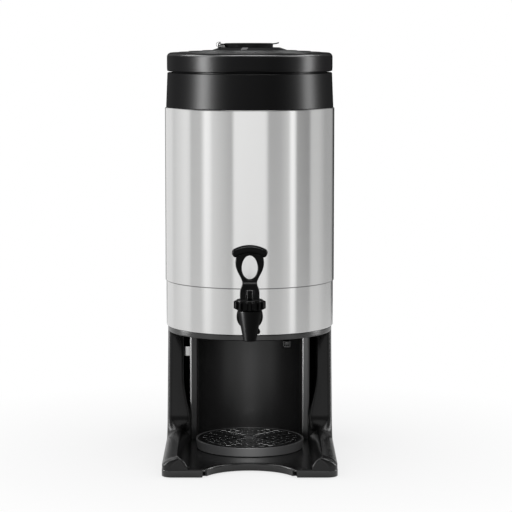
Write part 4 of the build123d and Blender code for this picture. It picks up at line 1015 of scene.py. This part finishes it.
def nut_grid(ribs, core=17.4, bore=14.1, hole=4.3):
    """Bonnet nut: a turned cap whose outer wall swells into grip ribs. Each rib is a flat-topped wave of the
    angle, and fades out at its two ends."""
    low, high, reach = NUT_LOW[2], NUT_HIGH[2], NUT_HIGH[0]
    roof, rows, sides = high - 4.0, 24, ribs * 18
    foot = [(bore, low), (core - 1.0, low), (core - 0.3, low + 0.3)]
    wall = np.linspace(low + 1.0, high - 1.2, rows)
    head = [
        (core - 0.35, high - 0.35), (core - 1.2, high), (hole + 0.1, high), (hole, high - 0.2), (hole, roof),
        (bore, roof)]
    grid = turned(np.vstack([foot, np.column_stack([np.full(rows, core), wall]), head]), sides)
    turn = np.linspace(0, FULL_TURN, sides, endpoint=False)
    wave = smooth((np.cos(ribs * turn) + 0.25) / 0.75)
    fade = smooth((wall - low - 1.0) / 1.2) * smooth((high - 1.3 - wall) / 1.2)
    rise = np.concatenate([np.zeros(len(foot)), fade, np.zeros(len(head))])
    swell = 1 + (reach - core) / core * rise[:, None] * wave
    return np.dstack([grid[..., 0] * swell, grid[..., 1] * swell + TAP_Y, grid[..., 2]])


def flange_grid(core=17.4, reach=23.0, half=3.0, ease=1.2, hole=8.6):
    """Flange nut behind the spout: its outline is the larger of a circle and a bar with round ends, eased at
    the front edge."""
    front, back = FLANGE_LOW[1], FLANGE_HIGH[1]
    turn = np.linspace(0, FULL_TURN, 360, endpoint=False)
    lean = math.radians(-62.0)
    across, along = np.abs(np.sin(turn - lean)), np.abs(np.cos(turn - lean))
    end = reach * along + np.sqrt(np.clip(half ** 2 - (reach * across) ** 2, 0, None))
    bar = np.minimum(half / np.maximum(across, 1e-6), end)
    outline = np.maximum(core, np.where(across * reach < half, bar, 0))
    bend = np.linspace(0, QUARTER, 6)
    rim = outline - np.append(ease * (1 - np.sin(bend)), 0.0)[:, None]
    bore = np.full((1, len(turn)), hole)
    radius = np.vstack([bore, rim, bore])
    place = np.concatenate([[front], front + ease * (1 - np.cos(bend)), [back, back]])
    y = np.broadcast_to(place[:, None], radius.shape)
    return np.dstack([radius * np.cos(turn), y, SHANK_Z + radius * np.sin(turn)])


def coil_path(low, high, wire, turns=4):
    """Helix about the stem: the angle and the height rise together from the lower end to the upper."""
    angle = np.linspace(0, FULL_TURN * turns, 40 * turns)
    radius = high[0] - wire
    rise = np.linspace(low[2] + wire, high[2] - wire, len(angle))
    return np.column_stack([radius * np.cos(angle), TAP_Y + radius * np.sin(angle), rise])


class SERVER_OT_tap(bpy.types.Operator):
    """Build the spout with its shank, the ribbed bonnet nut, the flange nut and the valve's spring"""
    bl_idname = "server.tap"
    bl_label = "Tap"

    def execute(self, context):
        sizes, finish = context.scene.server_sizes, finishes()
        black = finish("tap_moulding")
        spout = Shells().add(turned(spout_profile(), 160, y=TAP_Y), ring=True)
        spout.add(lying(turned(shank_profile(), 64), SHANK_Z), ring=True)
        spout.make("tap_spout", "server", "gloss_black", finish("spout_satin"), "tap_body")
        bonnet = Shells().add(nut_grid(sizes.rib_count), ring=True)
        bonnet.make("tap_bonnet", "server", "satin_black", black, "bonnet_nut", crease=60.0)
        flange = Shells().add(flange_grid(), ring=True)
        flange.make("tap_flange", "server", "gloss_black", black, "tap_flange_nut")
        low, high = limits("valve_spring")
        wire = 0.5
        coil = Shells().add(wire_tube(coil_path(low, high, wire), wire, (0, 0, 1)), caps=True).make(
            "tap_coil", "server", "bright_wire", finish("bright_wire"), "valve_spring")
        lift = next(joint for joint in frame["joints"] if joint["name"] == "stem_lift")["range_m"][1] / MM
        1 - lift / (high[2] - low[2])
        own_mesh(coil)
        return {"FINISHED"}


# Lever

NECK_Z = 238.5
HOLE_Z = 258.0
FORK_TOP = 231.0
SHOULDER_Z = LEVER_LOW[2] + 8.0


def paddle_grid(count=220, thick=7.0):
    """Paddle: a ring whose outer edge follows a pear outline and whose inner edge is an egg. At each angle a
    rounded section joins the two."""
    width = 18.6 * np.array([0.51, 0.70, 0.94, 1.0, 0.88])
    height = NECK_Z + 42.5 * np.array([0.0, 0.22, 0.45, 0.62, 1.0])
    fit = np.polynomial.Polynomial.fit(height, width, 4)
    rise = np.linspace(height[0] - 3.0, height[-1], 160)
    right = np.column_stack([fit(np.clip(rise, height[0], None)), rise])
    loop = np.vstack([right, right[::-1] * (-1, 1)])
    loop = np.vstack([loop, loop[:1]])
    angle = np.unwrap(np.arctan2(loop[:, 1] - HOLE_Z, loop[:, 0]))
    span = np.hypot(loop[:, 0], loop[:, 1] - HOLE_Z)
    turn = np.linspace(angle[0], angle[0] + FULL_TURN, count, endpoint=False)
    outer = np.interp(turn, angle, span)
    egg_half, egg_up, egg_down = 10.2, 16.3, 14.6
    egg_height = np.where(np.sin(turn) > 0, egg_up, egg_down)
    inner = 1 / np.sqrt((np.cos(turn) / egg_half) ** 2 + (np.sin(turn) / egg_height) ** 2)
    edge = np.minimum(2.6, (outer - inner) * 0.46)
    reach, depth = round_rectangle(outer - inner, np.full(count, thick), edge, 6)
    reach += ((outer + inner) / 2)[:, None]
    return np.dstack([reach * np.cos(turn)[:, None], TAP_Y + depth, HOLE_Z + reach * np.sin(turn)[:, None]])


def thumb_grid(thick=14.0, edge=4.4, dome=3.6):
    """Thumb bar: a rounded section that rides on two arcs, one above the other, and closes in a dome at each
    end."""
    def arc(place, half, peak, drop):
        """Points (x, z) of a circle that peaks in the middle and falls by the drop at its half width."""
        x = half * place
        bow = (half ** 2 + drop ** 2) / (2 * drop)
        return np.column_stack([x, peak - bow + np.sqrt(bow ** 2 - x ** 2)])

    top = LEVER_HIGH[2]
    turn = np.linspace(0, QUARTER, 8)
    shrink = dome * np.concatenate([1 - np.sin(turn), np.zeros(40), 1 - np.sin(turn[::-1])])
    close = 0.17 * (1 - np.cos(turn))
    place = np.concatenate([close - 1, np.linspace(-0.82, 0.82, 40), 1 - close[::-1]])
    upper, lower = arc(place, 24.6, top, 7.8), arc(place, 19.8, top - 10.8, 6.6)
    middle, spread = (upper + lower) / 2, upper - lower
    tall = np.linalg.norm(spread, axis=1)
    way = spread / tall[:, None]
    corner = np.maximum(edge - shrink * 0.6, 0.6)
    high, deep = round_rectangle(tall - 2 * shrink, thick - 2 * shrink, corner, 6)
    return np.dstack([
        middle[:, :1] + way[:, :1] * high, TAP_Y - 2.0 + deep, middle[:, 1:] + way[:, 1:] * high])


def stem_section(levels):
    """Half width, front and back of the lever's stem at each level: they narrow smoothly from the shoulder
    to the neck."""
    taper = smooth((levels - SHOULDER_Z) / (NECK_Z - SHOULDER_Z))
    return 12.7 - 3.2 * taper, -9.0 + 3.4 * taper, 7.0 - 3.0 * taper


def lever_stack(levels, inner, outer, front, back, radius=1.3):
    """Upright prong: at each level a rounded rectangle, from inner to outer in X and front to back in Y."""
    inner, outer, front, back = (np.asarray(v, float) + 0 * levels for v in (inner, outer, front, back))
    x, y = round_rectangle(outer - inner, back - front, np.full(len(levels), radius), 4)
    x += ((inner + outer) / 2)[:, None]
    y += ((front + back) / 2)[:, None]
    return np.dstack([x, TAP_Y + y, np.broadcast_to(np.asarray(levels)[:, None], x.shape)])


class SERVER_OT_lever(bpy.types.Operator):
    """Build the tap's lever: forked heel, paddle with its hole and thumb bar"""
    bl_idname = "server.lever"
    bl_label = "Lever"

    # Inner face of the two blocks that make a prong, and how far each stands back from the front
    prong_blocks = ((3.7, 4.0), (5.2, 0.0))

    def execute(self, context):
        finish = finishes()
        heel = LEVER_LOW[2]
        lever = Shells().add(paddle_grid(), ring=True).add(thumb_grid(), caps=True)
        levels = np.concatenate([
            [heel, heel + 0.4], np.linspace(heel + 1.2, SHOULDER_Z, 6),
            np.linspace(SHOULDER_Z + 0.8, NECK_Z + 1.0, 12)])
        levels = levels[levels < FORK_TOP]
        half, front, back = stem_section(levels)
        for side in (-1, 1):
            for inner, step in self.prong_blocks:
                prong = lever_stack(levels, inner, half, front + step, back)
                prong[..., 0] *= side
                lever.add(prong, caps=True)
        levels = np.concatenate([
            np.linspace(FORK_TOP - 1.0, NECK_Z - 1.0, 8), NECK_Z + np.array([0.0, 0.7, 1.4])])
        half, front, back = stem_section(levels)
        slope = np.clip(levels - NECK_Z + 0.9, 0, None)
        lever.add(lever_stack(levels, -half, half, front + slope, back - 0.4 * slope), caps=True)
        ledge = block(9.0, 1.6, 1.3, 0.3, 0.3)
        lever.add(ledge + (0.0, TAP_Y - 6.1, FORK_TOP + 0.8), caps=True)
        handle = lever.make(
            "tap_handle", "lever", "gloss_black", finish("tap_moulding"), "tap_lever", crease=45.0)
        handle.visible_glossy = False
        return {"FINISHED"}


# Drip tray


def tray_profile(floor=2.5):
    """Section of the tray from its middle: floor, wall, the ledge for the grate and a rounded rim."""
    low, high, outer = TRAY_LOW[2], TRAY_HIGH[2], TRAY_HIGH[0]
    pocket, ledge = outer - 2.5, GRATE_LOW[2] - 0.3
    well = pocket - 3.0
    return rounded([
        (0, low, 0), (outer - 1.5, low, 1.0), (outer, high, 0.4), (pocket, high, 0.4), (pocket, ledge, 0.3),
        (well, ledge, 0.4), (well, low + floor, 1.0), (0, low + floor, 0)])


def slot_rows(hub=7.0, rim=4.0):
    """Middle radius, count of slots and first angle of each row of slots, in even rows from hub to rim."""
    counts = np.array([5, 9, 13, 17, 21, 25])
    rows = np.arange(len(counts))
    step = (GRATE_HIGH[0] - rim - hub) / len(counts)
    return hub + step * (rows + 0.5), counts, rows / 2


def grate_bars(radius, count, first, slot, bar, low, high, lap=0.6):
    """Bars of one row: each spans the row and laps into both webs, and is as wide at an offset s from its
    middle as the round slot ends leave it, half (slot + bar) less the root of (slot / 2) squared less s
    squared."""
    half = slot / 2
    off = np.sin(np.linspace(-QUARTER, QUARTER, 11)) * half
    wide = (slot + bar) / 2 - np.sqrt(np.clip(half ** 2 - off ** 2, 0, None))
    off[0] -= lap
    off[-1] += lap
    y, z = round_rectangle(2 * wide, np.full(len(off), high - low), np.full(len(off), 0.5), 3)
    z += (low + high) / 2
    x = np.broadcast_to((radius + off)[:, None], y.shape)
    gap = (slot + bar) / radius
    for place in range(count):
        turn = FULL_TURN / count * (place + first) - gap / 2
        yield np.dstack([
            x * math.cos(turn) - y * math.sin(turn), TRAY_Y + x * math.sin(turn) + y * math.cos(turn), z])


class SERVER_OT_tray(bpy.types.Operator):
    """Build the drip tray and its slotted grate"""
    bl_idname = "server.tray"
    bl_label = "Drip tray"

    def execute(self, context):
        sizes, finish = context.scene.server_sizes, finishes()
        tray = Shells().add(turned(tray_profile(), 256, y=TRAY_Y))
        tray.make("tray_dish", "tray", "satin_black", finish("tray_satin"), "drip_tray")
        slot, bar = sizes.slot_width / MM, sizes.slot_bar / MM
        low, high, outer = GRATE_LOW[2], GRATE_HIGH[2], GRATE_HIGH[0]
        radii, counts, first = slot_rows()
        edges = np.concatenate([[0], np.column_stack([radii - slot / 2, radii + slot / 2]).ravel(), [outer]])
        grate = Shells()
        for inner, rim in edges.reshape(-1, 2):
            if inner:
                web = rounded([(inner, low, 0.3), (rim, low, 0.3), (rim, high, 1.1), (inner, high, 1.1)], 5)
                grate.add(turned(web, 200, y=TRAY_Y), ring=True)
            else:
                hub = rounded([(0, low, 0), (rim, low, 0.3), (rim, high, 0.7), (0, high, 0)], 4)
                grate.add(turned(hub, 80, y=TRAY_Y))
        for radius, count, start in zip(radii, counts, first):
            for grid in grate_bars(radius, count, start, slot, bar, low + 0.05, high - 0.05):
                grate.add(grid, caps=True)
        grate.make("tray_grate", "grate", "gloss_black", finish("grate_gloss"), "drip_grate")
        return {"FINISHED"}


# Pieces that keep their solids


class SERVER_OT_fittings(bpy.types.Operator):
    """Give the solids that stay in view, and those inside, their finishes"""
    bl_idname = "server.fittings"
    bl_label = "Fittings"

    looks = {
        "base_pads": "pad_rubber", "base_screws": "screw_zinc", "ring_screws": "screw_zinc",
        "flask_jacket": "liner_steel", "flask_liner": "liner_steel", "flask_cradle": "collar_satin",
        "outlet_hose": "soft_silicone", "tap_washers": "pad_rubber", "tap_lock_nut": "tap_moulding",
        "tap_stem": "tap_moulding", "seat_cup": "soft_silicone", "lever_pin": "bright_wire",
        "brew_funnel": "collar_satin", "cap_seal": "pad_rubber",
    }

    def execute(self, context):
        finish = finishes()
        for node, name in self.looks.items():
            for slot in frame["nodes"][node].material_slots:
                slot.material = finish(name)
        return {"FINISHED"}


# Stage


def studio(world, strength):
    """Studio round the object: mirror-like surfaces see upright bands of light by the angle round the object,
    counted from the front, that dim towards the top, and later behind. Everything else sees plain white."""
    finish = Finish(world)
    way = finish.node("ShaderNodeTexCoord", output="Generated")
    x, y, height = (finish.node("ShaderNodeSeparateXYZ", {}, {"Vector": way}, axis) for axis in "XYZ")
    turn = finish.node("ShaderNodeMath", {"operation": "ARCTAN2"}, {0: x, 1: 0 - y})
    # Angle in degrees and level of the light at each edge of a band
    bands = [
        (-180, 0.8), (-175, 0.4), (-171, 0.0), (-167, 0.05), (-162, 0.75), (-135, 0.8), (-126, 0.65),
        (-98, 0.9), (-90, 0.85), (-87, 0.55), (-70, 0.6), (-63, 1.2), (-56, 1.1), (-52, 0.8), (-24, 0.46),
        (-21, 1.05), (22, 1.0), (26, 0.43), (42, 0.46), (55, 0.7), (58, 1.25), (64, 1.15), (67, 0.36),
        (88, 0.26), (93, 0.6), (108, 0.6), (125, 0.4), (150, 0.4), (158, 0.05), (170, 0.0), (175, 0.4),
        (180, 0.8)]
    # The ramp holds half of each level, and twice the strength makes up for it
    stops = [((angle + 180) / 360, level / 2) for angle, level in bands]
    ramp = finish.node("ShaderNodeValToRGB", {"stops": stops}, {"Fac": turn / FULL_TURN + 0.5})
    behind = finish.node("ShaderNodeMath", {"operation": "MAXIMUM"}, {0: y, 1: 0.0})
    dim = finish.spread(height - behind * 0.5, 0.25, 0.6, 2 * strength, 0.3 * strength)
    mirrored = finish.node("ShaderNodeLightPath", output="Is Glossy Ray")
    lit = finish.node("ShaderNodeBackground", {}, {"Color": ramp, "Strength": dim})
    white = finish.node("ShaderNodeBackground", {}, {"Color": (1, 1, 1, 1), "Strength": 1.0})
    both = finish.node("ShaderNodeMixShader", {}, {0: mirrored, 1: white, 2: lit})
    finish.node("ShaderNodeOutputWorld", {}, {"Surface": both})


class SERVER_OT_stage(bpy.types.Operator):
    """Set up the camera, the studio light and the pale floor"""
    bl_idname = "server.stage"
    bl_label = "Stage"

    # Place and size of the soft box above, in metres
    softbox = ((0.0, -0.5, 2.2), (1.4, 1.4))
    # Which finishes a group of strip lamps lights, and each lamp's share of their power
    dark_groups = {
        "lid": ({"lid_satin"}, {
            "left": 1.05, "right": 0.66, "above": 0.6, "high_left": 0.35, "high_right": 0.35}),
        "collar": ({"collar_satin"}, {"left": 1.05, "right": 0.66, "above": 0.25}),
        "tap": ({"tap_moulding"}, {"edge_left": 0.5, "edge_right": 0.25, "above": 0.25}),
        "spout": ({"spout_satin"}, {"side": 0.1, "above": 0.05}),
        "stand": ({"stand_gloss", "base_gloss"}, {
            "edge_left": 0.06, "edge_right": 0.05, "high_left": 0.03, "high_right": 0.03}),
        "alcove": ({"alcove_satin"}, {"low": 0.03, "front": 0.037}),
        "tray": ({"tray_satin"}, {"front": 0.5}),
        "grate": ({"grate_gloss"}, {"glint_left": 0.09, "glint_right": 0.09}),
    }
    # Angle round the vessel from the front and rise in degrees, distance, height and size of each strip lamp
    strips = {
        "left": (-65.0, 0.0, 1.6, 0.4, (0.4, 1.6)),
        "right": (86.0, 0.0, 1.6, 0.4, (0.4, 1.6)),
        "edge_left": (-100.0, 0.0, 1.6, 0.4, (0.4, 1.6)),
        "edge_right": (104.0, 0.0, 1.6, 0.4, (0.4, 1.6)),
        "side": (-62.0, 0.0, 0.65, 0.1, (0.15, 0.2)),
        "low": (-80.0, 0.0, 0.6, 0.09, (0.15, 0.16)),
        "front": (0.0, 6.0, 1.6, 0.4, (0.5, 0.5)),
        "above": (0.0, 66.0, 1.6, 0.4, (1.6, 0.3)),
        "glint_left": (-66.0, 40.0, 1.2, 0.1, (0.9, 0.12)),
        "glint_right": (58.0, 40.0, 1.2, 0.1, (0.9, 0.12)),
        "high_left": (-85.0, 42.0, 1.6, 0.4, (1.4, 0.4)),
        "high_right": (85.0, 42.0, 1.6, 0.4, (1.4, 0.4)),
    }

    def execute(self, context):
        scene, stage = context.scene, context.scene.server_stage
        scene.view_settings.view_transform = "Standard"
        self.camera(scene, stage)
        scene.world = scene.world or bpy.data.worlds.new("studio")
        studio(scene.world, stage.surround)
        self.lamp(scene, "stage_softbox", *self.softbox, stage.overhead)
        for group, (shown_on, levels) in self.dark_groups.items():
            dark = bpy.data.collections.new(f"lit_{group}")
            for piece in scene.objects:
                shown = piece.type == "MESH" and piece.material_slots and piece.material_slots[0].material
                if shown and shown.name in shown_on:
                    dark.objects.link(piece)
            for name, level in levels.items():
                turn, rise, out, height, size = self.strips[name]
                turn, rise = math.radians(turn), math.radians(rise)
                flat = out * math.cos(rise)
                x, y = flat * math.sin(turn), VESSEL_Y * MM - flat * math.cos(turn)
                place = (x, y, height + out * math.sin(rise))
                strip = self.lamp(scene, f"strip_{name}_{group}", place, size, stage.strips * level)
                strip.light_linking.receiver_collection = dark
        self.floor(scene, stage.floor_radius)
        return {"FINISHED"}

    @staticmethod
    def camera(scene, stage):
        """Camera straight in front of the vessel, tilted down, with its frame shifted sideways."""
        camera = bpy.data.cameras.new("stage_camera")
        camera.lens, camera.sensor_width, camera.shift_x = stage.lens, 36.0, stage.shift
        view = bpy.data.objects.new("stage_camera", camera)
        view.location = (0, VESSEL_Y * MM - stage.distance, stage.height)
        view.rotation_euler = (QUARTER - stage.tilt, 0, 0)
        scene.collection.objects.link(view)
        scene.camera = view

    @staticmethod
    def lamp(scene, name, place, size, power, middle=0.3):
        """Soft box of a width and a height that faces the vessel's axis at a middle height."""
        light = bpy.data.lights.new(name, "AREA")
        light.shape, light.size, light.size_y, light.energy = "RECTANGLE", *size, power
        lamp = bpy.data.objects.new(name, light)
        lamp.location = place
        aim = Vector((0, VESSEL_Y * MM, middle)) - lamp.location
        lamp.rotation_euler = aim.to_track_quat("-Z", "Y").to_euler()
        scene.collection.objects.link(lamp)
        return lamp

    @staticmethod
    def floor(scene, radius, rings=11, sides=96):
        """Floor: a disc of rings that the camera sees nearly white, still shaded by the object and whiter
        outwards."""
        reach = np.linspace(0, radius, rings + 1)[1:]
        grid = turned(np.column_stack([reach, np.zeros(rings)]), sides)
        index = np.arange(rings * sides).reshape(rings, sides)
        middle = index[0].tolist()
        index = np.hstack([index, index[:, :1]])
        quads = np.stack([index[:-1, :-1], index[1:, :-1], index[1:, 1:], index[:-1, 1:]], -1).reshape(-1, 4)
        mesh = bpy.data.meshes.new("stage_floor")
        mesh.from_pydata(grid.reshape(-1, 3), [], quads.tolist() + [middle])
        finish = Finish(bpy.data.materials.new("stage_floor"))
        seen = finish.node("ShaderNodeLightPath", output="Is Camera Ray")
        out = finish.node("ShaderNodeVectorMath", {"operation": "LENGTH"}, {0: finish.spot()}, "Value")
        fade = finish.spread(out, 0.15, 0.55, 0.72, 1.0)
        matt = finish.node("ShaderNodeBsdfDiffuse", {}, {"Color": (0.74, 0.74, 0.74, 1)})
        white = finish.node("ShaderNodeEmission", {}, {"Color": (1, 1, 1, 1), "Strength": 1.0})
        both = finish.node("ShaderNodeMixShader", {}, {0: seen * fade, 1: matt, 2: white})
        finish.node("ShaderNodeOutputMaterial", {}, {"Surface": both})
        mesh.materials.append(finish.holder)
        floor = bpy.data.objects.new("stage_floor", mesh)
        scene.collection.objects.link(floor)


PIECES = (
    SERVER_OT_jacket, SERVER_OT_lid, SERVER_OT_flip_cap, SERVER_OT_stand, SERVER_OT_alcove, SERVER_OT_tap,
    SERVER_OT_lever, SERVER_OT_tray, SERVER_OT_fittings, SERVER_OT_stage,
)


class SERVER_PT_panel(bpy.types.Panel):
    """Lists the settings and the steps that build the server"""
    bl_idname = "SERVER_PT_panel"
    bl_label = "Coffee server"
    bl_space_type = "VIEW_3D"
    bl_region_type = "UI"
    bl_category = "Coffee server"

    def draw(self, context):
        """A row for each setting and a button for each step."""
        for name, group in GROUPS.items():
            for setting in group.__annotations__:
                self.layout.prop(getattr(context.scene, name), setting)
        for piece in PIECES:
            self.layout.operator(piece.bl_idname)


GROUPS = {"server_looks": ServerLooks, "server_sizes": ServerSizes, "server_stage": ServerStage}
CLASSES = (*GROUPS.values(), *PIECES, SERVER_PT_panel)


def register():
    """Register the classes and hang the settings on the scene."""
    for one in CLASSES:
        bpy.utils.register_class(one)
    for name, group in GROUPS.items():
        setattr(bpy.types.Scene, name, bpy.props.PointerProperty(type=group))


def unregister():
    """Take the settings off the scene and the classes out of Blender."""
    for name in GROUPS:
        delattr(bpy.types.Scene, name)
    for one in reversed(CLASSES):
        bpy.utils.unregister_class(one)


def main():
    """Register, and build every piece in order."""
    register()
    for piece in PIECES:
        group, name = piece.bl_idname.split(".")
        getattr(getattr(bpy.ops, group), name)()


if __name__ == "__main__":
    main()
